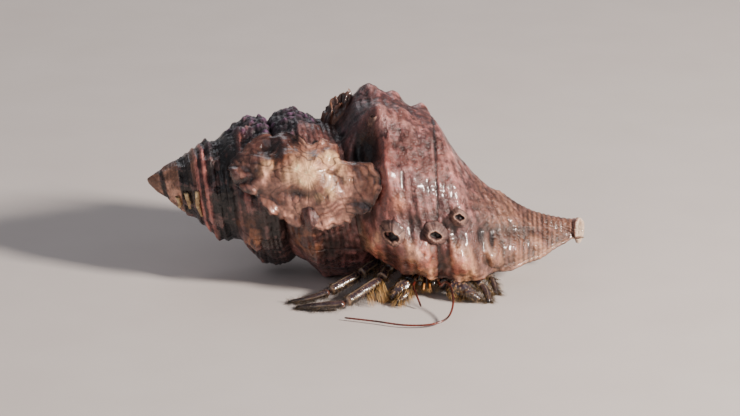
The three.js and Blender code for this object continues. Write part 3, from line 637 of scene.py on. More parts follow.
def shell_colours(p, d, degrees, s, t, knob, line, crust, cell):
    """Taupe and pink-brown ground with spiral bands, apex rings, a dark band, crust and canal tones, and
    painted shade on the ramp, the suture and the lower side.
    """
    blotch = rough(p, 9, 81, 4)
    streak = line_noise(t * 60 + 0.4 * s, 82, 3)
    colour = mix(linear("6a4c42"), linear("9b7769"), smoothstep(-0.7, 0.8, blotch))
    colour = paint(colour, "ad8b7e", 0.5 * smoothstep(0.0, 0.9, rough(p, 3.5, 83, 3)))
    colour = paint(colour, "53403f", 0.6 * smoothstep(0.15, 0.9, rough(p, 5, 84, 4)))
    colour = paint(colour, "5c352d", 0.5 * smoothstep(0.1, 0.9, streak))
    last_turn = np.where(t < 1, 1, 0)
    band = 0.5 - 0.5 * np.cos(2 * np.pi * s / CORD_PITCH * 3)
    patch = smoothstep(-0.4, 0.5, rough(p, 7, 90, 2))
    colour = mix(colour, colour * 0.55, 0.34 * band**3 * patch)
    deep_lines = sum(bell(s, line, 0.012) for line in (0.43, 0.72, 0.98, 1.22)) * smoothstep(0.12, 0.3, t)
    colour = paint(colour, "2a1a1c", 0.6 * np.clip(deep_lines, 0, 1) * patch * last_turn)
    colour = paint(colour, "c69a90", 0.4 * smoothstep(0.1, 0.7, rough(p, 1.6, 93, 3)) * last_turn)
    colour = paint(colour, "3a2628", 0.45 * smoothstep(0.25, 0.8, rough(p, 2.4, 94, 3)))
    grooves = 0.5 + 0.5 * np.cos(2 * np.pi * s / CORD_PITCH)
    near_lip = smoothstep(0.085, 0.05, t) * smoothstep(2.05, 1.8, s)
    rib_tone = mottle(p, 3, 85, 3, "f0cf9c", "bd8668", -0.5, 0.6)
    rib_tone = mix(rib_tone, linear("5a3030"), smoothstep(0.75, 0.2, lip_nodules(s)) * 0.8)
    rib_tone = mix(rib_tone, rib_tone * 0.7, 0.5 * smoothstep(0.3, 0.9, grooves))
    colour = mix(colour, 0.85 * rib_tone, np.clip(0.8 * near_lip, 0, 1))
    # painted shade along the suture of the last whorls
    colour = paint(colour, "2c1a1a", 0.45 * smoothstep(0.1, 0.0, s) * smoothstep(24, 31, d))
    # the spire: dark middle whorls, reddish ribs, then pale rings between dark spiral grooves
    old = smoothstep(1.0, 1.5, t)
    dark = mottle(p, 4, 86, 4, "1c0d0a", "4a2b21", -0.5, 0.9)
    colour = mix(colour, dark, 0.88 * old)
    phase = spire_phase(d, t)
    groove = 0.5 + 0.5 * np.cos(2 * np.pi * phase)
    ring = mottle(p, 2.2, 87, 3, "9c8266", "dfbf9c", -0.4, 0.6)
    ribs = np.cos(2 * np.pi * 5 * phase) + rough(p, 1.6, 96, 2)
    ribbed = mix(linear("5f3028"), linear("bb8a78"), smoothstep(-0.6, 0.8, ribs))
    ring = mix(ring, ribbed, smoothstep(11.5, 14, d))
    colour = mix(colour, ring, 0.92 * smoothstep(20.5, 17.5, d + 0.8 * blotch))
    colour = mix(colour, ribbed, 0.5 * bell(d, 26.5, 2.4))
    # the dark spiral grooves: partly the spire's own banding, partly painted shade on the slopes turned away
    # from the light
    level = np.interp(d, [3, 11, 21, 26], [0.8, 0.42, 0.1, 0.3])
    band = smoothstep(level, level + 0.22, groove) * smoothstep(27, 23.5, d) * smoothstep(1.2, 2.4, d)
    colour = mix(colour, mottle(p, 1.5, 97, 3, "130a09", "3a211c", 0.2, 0.9), 0.93 * band)
    shade = bell(d, 33, 9) * smoothstep(88, 112, turned(degrees, 0)) * old
    colour = paint(colour, "1a100e", 0.6 * shade)
    # canal: olive tan with a pale, flared end
    canal = smoothstep(84, 96, d)
    tan = mottle(p, 3, 88, 4, "7f6650", "a78a6c", -0.6, 0.6)
    tan = mix(tan, tan * 0.6, 0.5 + 0.5 * np.cos(2 * np.pi * d / 1.25))
    colour = mix(colour, tan, 0.8 * canal)
    colour = paint(colour, "c8a58c", smoothstep(113.5, 116.6, d))
    colour = mix(colour, colour * 1.25 + 0.01, np.clip(0.35 * knob + 0.5 * line, 0, 1))
    crusty = mix(linear("2a1e2c"), linear("705672"), smoothstep(0.55, 0.05, cell))
    colour = mix(colour, crusty, 0.85 * crust)
    worn = smoothstep(0.45, 0.8, rough(p, 2.2, 89, 3) + 0.5 * np.clip(knob, 0, 1))
    colour = paint(colour, "b59a8c", 0.35 * worn * (1 - crust))
    # painted shade on the ramp beside the top knobs
    ramp = bell(d, 55.5, 4.5) * bell(turned(degrees, 6), 0, 30) * last_turn
    colour = paint(colour, "2c1c28", 0.75 * ramp)
    # painted shade on the lower front of the middle whorls
    low = spot(d, degrees, (47, 112), (7, 12), 26)
    colour = paint(colour, "1a0c0a", 0.8 * low)
    return SHELL_CAST * np.clip(colour, 0, 1) ** 1.25


def whorl_rows(t, rows, canal_rows=0):
    """Axial places along each column: even over the whorl, then spaced towards the canal's end."""
    j = np.arange(rows + 1) / rows
    d = suture_at(t)[:, None] + whorl_height(t)[:, None] * j
    if not canal_rows:
        return d
    share = (np.arange(1, canal_rows + 1) / canal_rows)[None, :] ** (1 + 0.6 * t[:, None])
    start = (suture_at(t) + whorl_height(t))[:, None]
    return np.concatenate([d, start + (SHELL_LENGTH - start) * share], axis=1)


def wound_grid(first_turn, last_turn, rows, canal_rows=0):
    """Grid of skin points between two turns; one row of the grid is one column of the whorl."""
    t = first_turn + np.arange(int(round((last_turn - first_turn) * COLUMNS)) + 1) / COLUMNS
    d = whorl_rows(t, rows, canal_rows)
    return d, np.broadcast_to(t[:, None], d.shape)


def meet(p, tone, t):
    """Lays the far edge of each whorl on the suture of the next, so that no crack is left between."""
    before = np.repeat((t - 1)[:, None], 2, axis=1)
    edge, edge_tone, _ = shell_skin(suture_at(before), before)
    p[:, -1] = edge[:, 0]
    tone[:, -1] = edge_tone[:, 0]


def close_inside(body, loop, d):
    """Closes a piece inside the shell: a cone from its open edge to a point on the axis."""
    body.tris.append(fan(body.count, loop))
    body.add(place(np.array(d), np.array(0.0), np.array(0.0)), linear("3a241e"), 0.3)


def build_shell():
    """Body whorl with lip, mouth lining and canal, then the whorl before it, then the spire."""
    body = Shape()
    d, t = wound_grid(0, 1, WHORL_ROWS, CANAL_ROWS)
    p, colour, wet = shell_skin(d, t)
    p[-1, -1] = p[0, -1]
    p[-1, WHORL_ROWS] = p[0, 0]
    body.add(p, colour, wet, quads=grid_quads(*d.shape))
    count, wide = d.shape
    loop = np.concatenate([np.arange(count) * wide, (count - 1) * wide + np.arange(1, WHORL_ROWS)])
    close_inside(body, loop, suture_at(1))
    add_canal_end(body, p[:-1, -1])
    add_mouth(body, d[0], p[0], colour[0], d[-1, WHORL_ROWS:], p[-1, WHORL_ROWS:])
    make_piece("shell_body_whorl", body, SHELL_LOOK, ["shell"], weld=0.002)

    second = Shape()
    d, t = wound_grid(1, 2, WHORL_ROWS)
    p, colour, wet = shell_skin(d, t)
    meet(p, colour, t[:, 0])
    second.add(p, colour, wet, quads=grid_quads(*d.shape))
    count, wide = d.shape
    older = np.concatenate([np.arange(count) * wide, (count - 1) * wide + np.arange(1, wide - 1)])
    newer = np.concatenate([np.arange(count - 1, -1, -1) * wide + wide - 1, np.arange(wide - 2, 0, -1)])
    close_inside(second, older, d[-1].mean())
    close_inside(second, newer, d[0].mean())
    make_piece("shell_second_whorl", second, SHELL_LOOK, ["shell"], weld=0.0002)

    spire = Shape()
    d, t = wound_grid(2, TURNS, SPIRE_ROWS)
    p, colour, wet = shell_skin(d, t)
    meet(p, colour, t[:, 0])
    spire.add(p, colour, wet, quads=grid_quads(*d.shape))
    rows, wide = d.shape
    loop = np.concatenate([(rows - 1) * wide + np.arange(SPIRE_ROWS, 0, -1),
                           (rows - 1 - np.arange(COLUMNS)) * wide])
    flat = p.reshape(-1, 3)[loop]
    tip = place(np.array(-0.1), np.array(0.0), np.array(0.0))
    dome = mix(flat, tip, 0.5) + [-0.22, 0, 0]
    start = len(p.reshape(-1, 3))
    near = start + np.arange(len(loop))
    ring = np.stack([loop, np.roll(loop, -1), np.roll(near, -1), near], axis=-1)
    tone = colour.reshape(-1, 3)[loop]
    spire.add(np.concatenate([dome, tip[None]]), np.concatenate([tone, tone[:1]]), 0.6)
    spire.quads.append(ring[:, ::-1])
    spire.tris.append(fan(start + len(loop), near, flip=True))
    open_edge = np.concatenate([np.arange(wide - 1, 0, -1), np.arange(COLUMNS, 0, -1) * wide + wide - 1])
    close_inside(spire, open_edge, d[0].mean())
    make_piece("shell_spire", spire, SHELL_LOOK, ["shell"], weld=0.0002)


def add_canal_end(body, rim):
    """Rounds the canal's end over into its bore and closes the bore far inside."""
    count = len(rim)
    centre = rim.mean(0)
    steps = [(0.35, 0.12), (0.5, 0.3), (0.4, 0.55), (0.0, 0.75)]
    steps += [(-1.5 * k, 0.8 + 0.28 * k) for k in range(1, 6)]
    rings = [rim]
    for forward, inward in steps:
        ring = centre + (rim - centre) * (1 - inward / CANAL_END)
        rings.append(ring + [forward, 0, 0])
    points = np.stack(rings)
    depth = np.linspace(0, 1, len(rings))[:, None] * np.ones(count)
    # painted shade that deepens into the bore
    tone = mix(linear("d8bda4"), linear("2a1712"), smoothstep(0.35, 0.95, depth))
    quads = grid_quads(len(rings), count, close_columns=True, flip=True)
    tip = len(rings) * count
    points = np.concatenate([points.reshape(-1, 3), rings[-1].mean(0)[None]])
    tone = np.concatenate([tone.reshape(-1, 3), tone[-1, :1]])
    tris = fan(tip, (len(rings) - 1) * count + np.arange(count), flip=True)
    body.add(points, tone, 0.7, quads=quads, tris=tris)


def column_radius(d, t):
    """Radius of the inner wall of the hollow: the older whorl and the canal's column, which sinks
    behind the mouth's edge where the canal leaves no room."""
    column = smooth_radius(d, t + 1)
    tight = smoothstep(4.4, 2.2, smooth_radius(d, t) - column)
    return column - 1.3 * tight * smoothstep(0, 0.05, t)


def lining_radius(d, t):
    """Radius of the hollow's outer wall: the skin less the wall, never less than half way in."""
    outer = smooth_radius(d, t) - HOLLOW_DEPTH * ramp_hollow(d, LIP_ANGLE - 360 * t, t)
    wall = np.minimum(LIP_WALL, 0.5 * np.maximum(outer - column_radius(d, t), 0))
    return outer - np.maximum(wall, np.minimum(1.2, outer - column_radius(d, t)) * smoothstep(0, 0.05, t))


def hollow_places(d, turns):
    """Axial places of the hollow's rows: the mouth's rows, squeezed away from the canal as it winds back."""
    end = mix(SHELL_LENGTH, 100.0, smoothstep(0, 0.07, turns))
    share = (d[None] - suture_at(0)) / (SHELL_LENGTH - suture_at(0))
    return suture_at(turns) + share * (end - suture_at(turns))


def add_mouth(body, outer_d, outer, outer_tint, inner_d, inner):
    """Rolls the lip over a half circle into the hollow, lines the hollow, closes its far end and sides."""
    turn = np.zeros_like(outer_d)
    inside = place(outer_d, lining_radius(outer_d, turn), LIP_ANGLE)
    a = np.linspace(0, np.pi, 9)[:, None, None]
    across = 0.5 * (outer - inside)
    forward = np.array([0, np.cos(np.radians(LIP_ANGLE)), np.sin(np.radians(LIP_ANGLE))])
    thick = np.linalg.norm(across, axis=-1, keepdims=True)
    rim = inside + across * (1 + np.cos(a)) + forward * 0.8 * thick * np.sin(a)
    pale = mottle(inside, 3, 91, 3, "cdb08f", "9a7560", -0.4, 0.6)
    tone = mix(outer_tint[None], pale[None], np.broadcast_to(smoothstep(0, np.pi, a)[..., 0], rim.shape[:2]))
    rim_at = body.count
    body.add(rim, tone, 0.75, quads=grid_quads(*rim.shape[:2], flip=True))

    turns = np.linspace(0, MOUTH_DEPTH, 27)[:, None]
    d = hollow_places(outer_d, turns)
    outer_wall = place(d, lining_radius(d, turns + 0 * d), LIP_ANGLE - 360 * turns)
    tone = lining_colours(outer_wall, turns)
    wall_at = body.count
    body.add(outer_wall, tone, 0.8, quads=grid_quads(*d.shape, flip=True))

    d = hollow_places(inner_d, turns)
    column = place(d, column_radius(d, turns + 0 * d), LIP_ANGLE - 360 * turns)
    column = mix(column, inner[None], np.exp(-turns / 0.004)[..., 0][:, None] * np.ones(d.shape))
    tone = lining_colours(column, turns)
    column_at = body.count
    body.add(column, tone, 0.8, quads=grid_quads(*d.shape))

    # the far end, then both sides of the hollow
    rows, wide, narrow = len(turns), len(outer_d), len(inner_d)
    body.tris.append(zip_rows(wall_at + (rows - 1) * wide + np.arange(wide),
                              column_at + (rows - 1) * narrow + np.arange(narrow), outer_d, inner_d))
    step = np.arange(rows - 1)
    ring = np.arange(rim.shape[0] - 1)
    for last in (False, True):
        wall = wall_at + step * wide + (wide - 1) * last
        inside_wall = column_at + step * narrow + (narrow - 1) * last
        body.quads.append(np.stack([wall, wall + wide, inside_wall + narrow, inside_wall], axis=-1))
        bend = rim_at + ring * wide + (wide - 1) * last
        start = np.full(len(ring), column_at + (narrow - 1) * last)
        body.tris.append(np.stack([start, bend, bend + wide], axis=-1))


def lining_colours(p, turns):
    """Porcelain pink-orange at the mouth, darkened inwards by painted shade."""
    tone = mottle(p, 8, 92, 3, "c79a7c", "a8705a", -0.5, 0.6)
    return mix(tone, linear("452a22"), smoothstep(0.05, 0.5, turns) * np.ones(p.shape[:2]))

# ---- what is cemented to the shell --------------------------------------------------------------
OYSTER_AT = (43.7, 65.0)
OYSTER_RADIUS = 16.6
OYSTER_MIDDLE = 0.42
OYSTER_TRIM = 2.4
OYSTER_NOTCH = 5.5
OYSTER_WAVES = [(1.56, -2.23), (2.93, 0.25), (1.23, -1.5), (0.79, 1.98), (0.45, 1.45), (1.11, -0.21)]
BARNACLES = {
    "barnacle_front": (65.6, 92, 3.2, 2.3),
    "barnacle_middle": (77.2, 88, 2.7, 2.0),
    "barnacle_upper": (83.5, 76, 2.2, 2.1),
    "barnacle_ridge": (61, 27, 1.6, 1.6),
}
TUBES = {
    "worm_tube_small": ((8.7, 132), (8.2, 104), 0.55, 0.5),
    "worm_tube_middle": ((15, 120), (13.8, 84), 0.6, -0.4),
    "worm_tube_large": ((11.6, 124), (10.7, 92), 0.65, 0.3),
}


def turn_at(d, degrees):
    """The outermost turn at an axial place and angle: the lip's angle, then whole turns back."""
    t = ((LIP_ANGLE - degrees) / 360) % 1
    for _ in range(6):
        t = np.where(suture_at(t) > d, t + 1, t)
    return t


def skin_radius(d, degrees):
    """Radius of the smooth skin at an axial place and angle."""
    return smooth_radius(d, turn_at(d, degrees))


def pad_places(middle, out, around, width=None):
    """Shell places of points at distance out and angle around from a middle, laid round the shell."""
    d = middle[0] + out * np.cos(around)
    radius = width or float(skin_radius(np.array(middle[0]), np.array(middle[1])))
    return d, middle[1] + np.degrees(out * np.sin(around) / radius)


def flat_map(out, a):
    """A growth's points laid flat: distance out from its middle and the angle round it."""
    return np.stack([out * np.cos(a), out * np.sin(a), np.zeros_like(out)], axis=-1)


def oval(flat, middle_x, middle_y, wide, tall):
    """A soft oval on a flat map: 1 at its middle, falling off over wide and tall."""
    across = ((flat[..., 0] - middle_x) / wide) ** 2
    return np.exp(-across - ((flat[..., 1] - middle_y) / tall) ** 2)


def dome_piece(name, p, tone, wet, look, node):
    """A piece from rings of points: the first ring closes to a top point, the last to a base point."""
    rings, spokes = p.shape[:2]
    body = Shape()
    body.add(p, tone, wet, quads=grid_quads(rings, spokes, close_columns=True, flip=True))
    body.add(p[0].mean(0)[None], tone[0, :1], 0.5)
    body.tris.append(fan(rings * spokes, np.arange(spokes)))
    body.add(p[-1].mean(0)[None], tone[-1, :1], 0.3)
    body.tris.append(fan(rings * spokes + 1, (rings - 1) * spokes + np.arange(spokes), flip=True))
    make_piece(name, body, look, [node], weld=0.001)


def oyster_reach(a):
    """Rim of the oyster: a mean radius and six waves round it, trimmed along its upper side, with a
    bay beside the hollow in the ramp."""
    bay = OYSTER_NOTCH * np.exp((np.cos(a + 0.65) - 1) / 0.07)
    upper = OYSTER_TRIM * np.maximum(0, -np.sin(a)) ** 2
    waves = sum(size * np.cos((k + 1) * a - phase) for k, (size, phase) in enumerate(OYSTER_WAVES))
    return OYSTER_RADIUS - bay - upper + waves


def build_oyster():
    """A polar sheet of laminae over the skin, turned up and scalloped at the rim, closed underneath."""
    spokes, rings = 420, 96
    a = round_angles(spokes)[None]
    share = (np.linspace(0.004, 1, rings) ** 0.9)[:, None]
    scallop = 0.55 * line_noise(a * 5.1, 101, 2) + 0.35 * line_noise(a * 14, 102, 2)
    out = share * (oyster_reach(a) + 1.3 * scallop * share**4)
    d, degrees = pad_places(OYSTER_AT, out, a)
    bare = skin_radius(d, degrees)
    skin = np.mean([skin_radius(d + shift, degrees) for shift in (-5, -3, -1, 1, 3, 5)], axis=0)
    skin = mix(skin, bare, smoothstep(0.8, 1, share))
    flat = flat_map(out, a)
    warp = share + 0.11 * rough(flat, 8, 103, 3) + 0.03 * rough(flat, 2.5, 104, 2)
    lamina = warp * 9
    step = lamina - np.floor(lamina)
    edge = smoothstep(0, 0.75, step) - smoothstep(0.8, 1, step)
    folds = np.abs(noise(np.stack([6 * a + 0 * out, share * 3 + 0 * a, 0 * out], axis=-1), 1.0, 105))
    wrinkle = rough(flat, 6.5, 106, 3)
    fan_fold = 0.5 + 0.5 * np.cos(a * 11 + 2.2 * wrinkle)
    swirl = np.sin(0.62 * out + 1.5 * np.cos(a - 0.6) + 2.4 * wrinkle) * smoothstep(0.25, 0.55, share)
    crown = 2.3 * (1 - share**2) + 1.1 * rough(flat, 7.5, 111, 2) * (1 - share**3)
    pit_depth = 2.6
    gully_depth = 1.5
    raised = 1.7 * oval(flat, 0, -1.2, 6.5, 5.2)
    pit = pit_depth * oval(flat, -10.8, -8.4, 2.6, 3.2)
    gully = gully_depth * oval(flat, -3.6, 4.4, 3.8, 1.5)
    lift = smoothstep(0.72, 1, share)
    frill = lift * (0.75 + 0.9 * fan_fold)
    patchy = smoothstep(-0.3, 0.6, rough(flat, 5, 112, 2))
    height = (0.9 + crown + raised - pit - gully + 0.16 * edge * share * patchy
              + 0.75 * wrinkle * (0.5 + share * 0.6))
    height = height + 0.34 * swirl + 0.8 * folds * share * (1 - share) + 0.08 * rough(flat, 1.1, 113, 3)
    height = height + frill * (1.15 + 0.25 * np.cos(a - 1.6))
    thin = 1 - 0.55 * np.maximum(0, -np.sin(a)) * smoothstep(0.2, 1, share)
    radius = np.maximum(skin + height * thin, bare + 0.35)
    top = place(d, radius, degrees)

    tone = mottle(flat, 6, 107, 4, "8a6054", "bd8f7a", -0.6, 0.7)
    tone = paint(tone, "5a3428", 0.35 * smoothstep(0.5, 1.0, step) * (0.2 + 0.6 * share) * patchy)
    tone = paint(tone, "d2a98c", 0.45 * smoothstep(0.2, 0.6, step) * smoothstep(0.7, 0.4, step) * share)
    # the cream middle: partly the oyster's own pale colour, partly painted highlight on its raised middle
    cream = np.exp(-(((flat[..., 0] + 1.0) / 10.5) ** 2) - ((flat[..., 1] + 2.0) / 7.5) ** 2 + 0.7 * wrinkle)
    tone = paint(tone, "ecc99a", np.clip(1.1 * smoothstep(0.3, 0.9, cream), 0, 1))
    veins = bell(np.abs(rough(flat, 5.5, 114, 3)), 0, 0.07) * smoothstep(0.1, 0.4, share)
    tone = paint(tone, "4f3128", 0.7 * veins)
    tone = paint(tone, "e9b8a4", 0.6 * smoothstep(0.3, 1, rough(flat, 3, 108, 3)) * cream)
    orange = oval(flat, -7.5, -4.6, 3.0, 2.2)
    tone = paint(tone, "9c5a34", np.clip(0.85 * orange, 0, 1))
    # painted shade: near black in the pit and the gully
    tone = paint(tone, "2a1814", np.clip(0.9 * pit / pit_depth + 0.75 * gully / gully_depth, 0, 1))
    green = smoothstep(0.3, 0.8, rough(flat, 5, 109, 3)) * smoothstep(0.8, 0.3, share)
    tone = paint(tone, "8c8a58", 0.4 * green)
    stains = smoothstep(0.25, 0.8, rough(flat, 7, 110, 4))
    tone = paint(tone, "4a2c2a", 0.8 * stains * smoothstep(0.15, 0.6, share))
    # painted shade on the left of the rim, the side turned from the light
    left = smoothstep(-4, -12, flat[..., 0]) * smoothstep(0.45, 0.9, share)
    tone = paint(tone, "4f3434", 0.5 * left)
    # painted shade along the rim's edge
    tone = paint(tone, "3a2220", 0.65 * smoothstep(0.94, 1, share))
    # painted shade and dirt darken the hollows; painted highlight and wear lighten the crests
    relief_shade_and_wear = cavity(height * thin)
    tone = mix(tone, tone * 0.3, np.clip(-4.5 * relief_shade_and_wear, 0, 0.75))
    tone = mix(tone, tone * 1.6 + 0.02, np.clip(6 * relief_shade_and_wear, 0, 0.7))
    light = np.maximum(tone.mean(axis=-1, keepdims=True), 0.01)
    tone = OYSTER_CAST * np.clip(tone * (light / OYSTER_MIDDLE) ** 0.45, 0, 1)
    body = Shape()
    body.add(top, tone, 0.75 + 0.3 * wrinkle, quads=grid_quads(rings, spokes, close_columns=True, flip=True))
    middle = top[0].mean(0)
    body.add(middle[None], tone[0, :1], 0.8)
    body.tris.append(fan(rings * spokes, np.arange(spokes)))
    under_share = np.array([1.0, 0.985, 0.95, 0.86, 0.7])[:, None]
    under_lift = np.array([0.55, 0.2, 0.0, -0.4, -0.7])[:, None]
    out = under_share * out[-1:]
    d, degrees = pad_places(OYSTER_AT, out, a)
    lower = place(d, skin_radius(d, degrees) + np.maximum(height[-1:], 0.35) * np.maximum(under_lift, 0)
                  + np.minimum(under_lift, 0), degrees)
    lower = np.concatenate([top[-1:], lower])
    # painted shade under the turned-up rim, darker towards the shell
    dark = mix(linear("7a5546"), linear("241512"), np.linspace(0, 1, 6)[:, None] * np.ones((1, spokes)))
    count = body.count
    body.add(lower, dark, 0.5, quads=grid_quads(6, spokes, close_columns=True, flip=True))
    body.add(lower[-1].mean(0)[None], dark[-1, :1], 0.5)
    body.tris.append(fan(count + 6 * spokes, count + 5 * spokes + np.arange(spokes), flip=True))
    make_piece("oyster_valve", body, OYSTER_LOOK, ["oyster"], weld=0.001)


def build_top_growth():
    """A jagged tuft of old lime: a steep dome whose height is torn by folded noise."""
    spokes, rings = 110, 50
    a = round_angles(spokes)[None]
    share = np.linspace(0.004, 1, rings)[:, None]
    out = share * 4.1 * (1 + 0.16 * np.sin(3 * a) + 0.1 * line_noise(a * 4, 121, 2))
    d, degrees = pad_places((51, -14), out, a, 24.0)
    flat = flat_map(out, a)
    torn = 1 - np.abs(rough(flat, 2.4, 122, 4))
    height = 6.9 * (1 - share**1.7) * (0.45 + 0.6 * torn) + 0.7 * smoothstep(1, 0.8, share)
    height = height - 1.4 * bell(flat[..., 0], 0.6, 0.8) * (1 - share)
    lean = 1.2 * (1 - share**2) * rough(flat, 2.8, 123, 3)
    sink = -0.8 * smoothstep(0.9, 1, share)
    p = place(d + lean, skin_radius(d, degrees) + height + sink, degrees + 2.5 * lean)
    tone = mottle(flat, 1.6, 124, 3, "3b231c", "6e4636", -0.3, 0.9)
    tone = paint(tone, "8a5a40", smoothstep(0.7, 1, torn) * 0.6)
    dome_piece("top_growth_lime", p, tone, 0.45, OYSTER_LOOK, "top_growth")


def build_barnacle(name, d0, angle0, radius, tall, seed):
    """Six ribbed wall plates round a sunk, four-sided lid: a profile over the share of the radius."""
    spokes, rings = 96, 44
    a = round_angles(spokes)[None]
    share = np.linspace(0.01, 1, rings)[:, None]
    ribs = np.abs(np.cos(a * 9 + 0.4 * seed)) ** 0.5
    joint = smoothstep(0.08, 0.0, np.abs(((a * 6 / (2 * np.pi)) + 0.13 * seed) % 1 - 0.5))
    diamond = 1 + 0.16 * np.cos(2 * a) + 0.1 * np.cos(4 * a)
    rim = 0.43 * diamond
    wall = smoothstep(0, 1, (1 - share) / (1 - rim)) ** 1.1
    inside = smoothstep(rim - 0.02, rim - 0.2, share)
    out = share * radius * 1.25 * (1 + 0.05 * ribs * share + 0.07 * line_noise(a * 2, 131 + seed, 2))
    height = tall * (np.clip(wall, 0, 1) * (1 - inside) + 0.32 * inside)
    lid = 0.22 * tall * inside * (1 - np.abs(np.cos(a)) ** 0.4) * (1 - share / rim)
    height = height + lid + 0.1 * ribs * wall * (1 - inside) - 0.12 * joint * (1 - inside) * share
    height = height + 0.05 * line_noise(share * 22 + 0 * a, 132, 1) * (1 - inside)
    height = height - 0.5 * smoothstep(0.93, 1, share)
    d, degrees = pad_places((d0, angle0), out, a)
    p = place(d, skin_radius(d, degrees) + height, degrees)
    pale = 0.5 + 0.5 * np.cos(2.4 * seed)
    plate = mix(linear("7a5850"), linear("9c7868"), pale)
    tone = mix(linear("4b3232"), plate, smoothstep(-0.5, 0.7, rough(p, 1.1, 133, 3)))
    tone = paint(tone, "b08e80", 0.3 * ribs * (1 - inside) * smoothstep(0.95, 0.6, share))
    crown_edge = bell(share, rim, 0.05)
    tone = paint(tone, "b98a72", 0.55 * crown_edge)
    tone = paint(tone, "2a1a1a", np.clip(0.6 * joint + 0.55 * share**3, 0, 1))
    tone = paint(tone, "150c10", smoothstep(0.2, 0.9, inside) * 0.94)
    tone = paint(tone, "5a4444", 0.5 * smoothstep(0.02, 0.14, lid / tall))
    dome_piece(name + "_plates", p, tone, 0.35 + 0.5 * inside, BARNACLE_LOOK, name)


def build_worm_tube(name, start, end, radius, bow, seed):
    """A ringed lime tube laid along the skin: radius waves along it, open at its far end."""
    stations, sides = 90, 20
    u = np.linspace(0, 1, stations)
    d = mix(start[0], end[0], u) + bow * np.sin(np.pi * u) + 0.18 * line_noise(u * 5, 141 + seed, 2)
    degrees = mix(start[1], end[1], u)
    skin = skin_radius(d, degrees)
    a = round_angles(sides)[None]
    rings = 1 + 0.07 * np.sin(u * 62) + 0.06 * line_noise(u * 25, 142 + seed, 2)
    taper = mix(0.6, 1.0, smoothstep(0, 0.5, u))
    fat = (radius * rings * taper)[:, None] * (1 - 0.22 * bell(a, np.pi / 2, 0.35))
    along = np.concatenate([u, np.full(4, 1.0)])
    inner = np.array([0.85, 0.6, 0.5, 0.45])[:, None] * radius * np.ones_like(a)
    sink = np.array([0.0, 0.0, 0.35, 0.9])
    fat = np.concatenate([fat, inner])
    d = np.concatenate([d, np.full(4, d[-1])])
    back = np.degrees(sink / skin[-1]) * np.sign(start[1] - end[1])
    degrees = np.concatenate([degrees, degrees[-1] + back])
    skin = np.concatenate([skin, np.full(4, skin[-1])])
    lift = radius * 0.7 + 0.3
    p = place(d[:, None] + fat * np.cos(a), skin[:, None] + lift + fat * np.sin(a), degrees[:, None] + 0 * a)
    tone = mottle(p, 1.3, 143, 3, "a4835a", "e6cb9c", -0.4, 0.6)
    # painted shade on the side towards the shell and inside the open end
    tone = paint(tone, "5a4030", 0.5 * smoothstep(0.2, -0.9, np.sin(a)))
    tone = paint(tone, "2c1c16", smoothstep(0, 1, np.concatenate([0 * u, [0.1, 0.5, 0.9, 1]]))[:, None]
               * np.ones_like(a))
    body = Shape()
    count = len(along)
    body.add(p, tone, 0.6, quads=grid_quads(count, sides, close_columns=True))
    body.add(np.stack([p[0].mean(0), p[-1].mean(0)]), np.stack([tone[0, 0], tone[-1, 0]]), 0.5)
    body.tris.append(fan(count * sides, np.arange(sides), flip=True))
    body.tris.append(fan(count * sides + 1, (count - 1) * sides + np.arange(sides)))
    make_piece(name + "_lime", body, TUBE_LOOK, [name], weld=0.001)

# ---- the crab -----------------------------------------------------------------------------------
CRAB_X = 16.0
SIDES = {"right": -1, "left": 1}
# SHEEN_PURPLE is a painted sheen, laid on the upper sides of the limbs
DARK, OLIVE, SHEEN_PURPLE = linear("120d0c"), linear("2f2420"), linear("463842")
STRIPE, GOLD, HORN = linear("cdb48e"), linear("c49a5e"), linear("14100e")
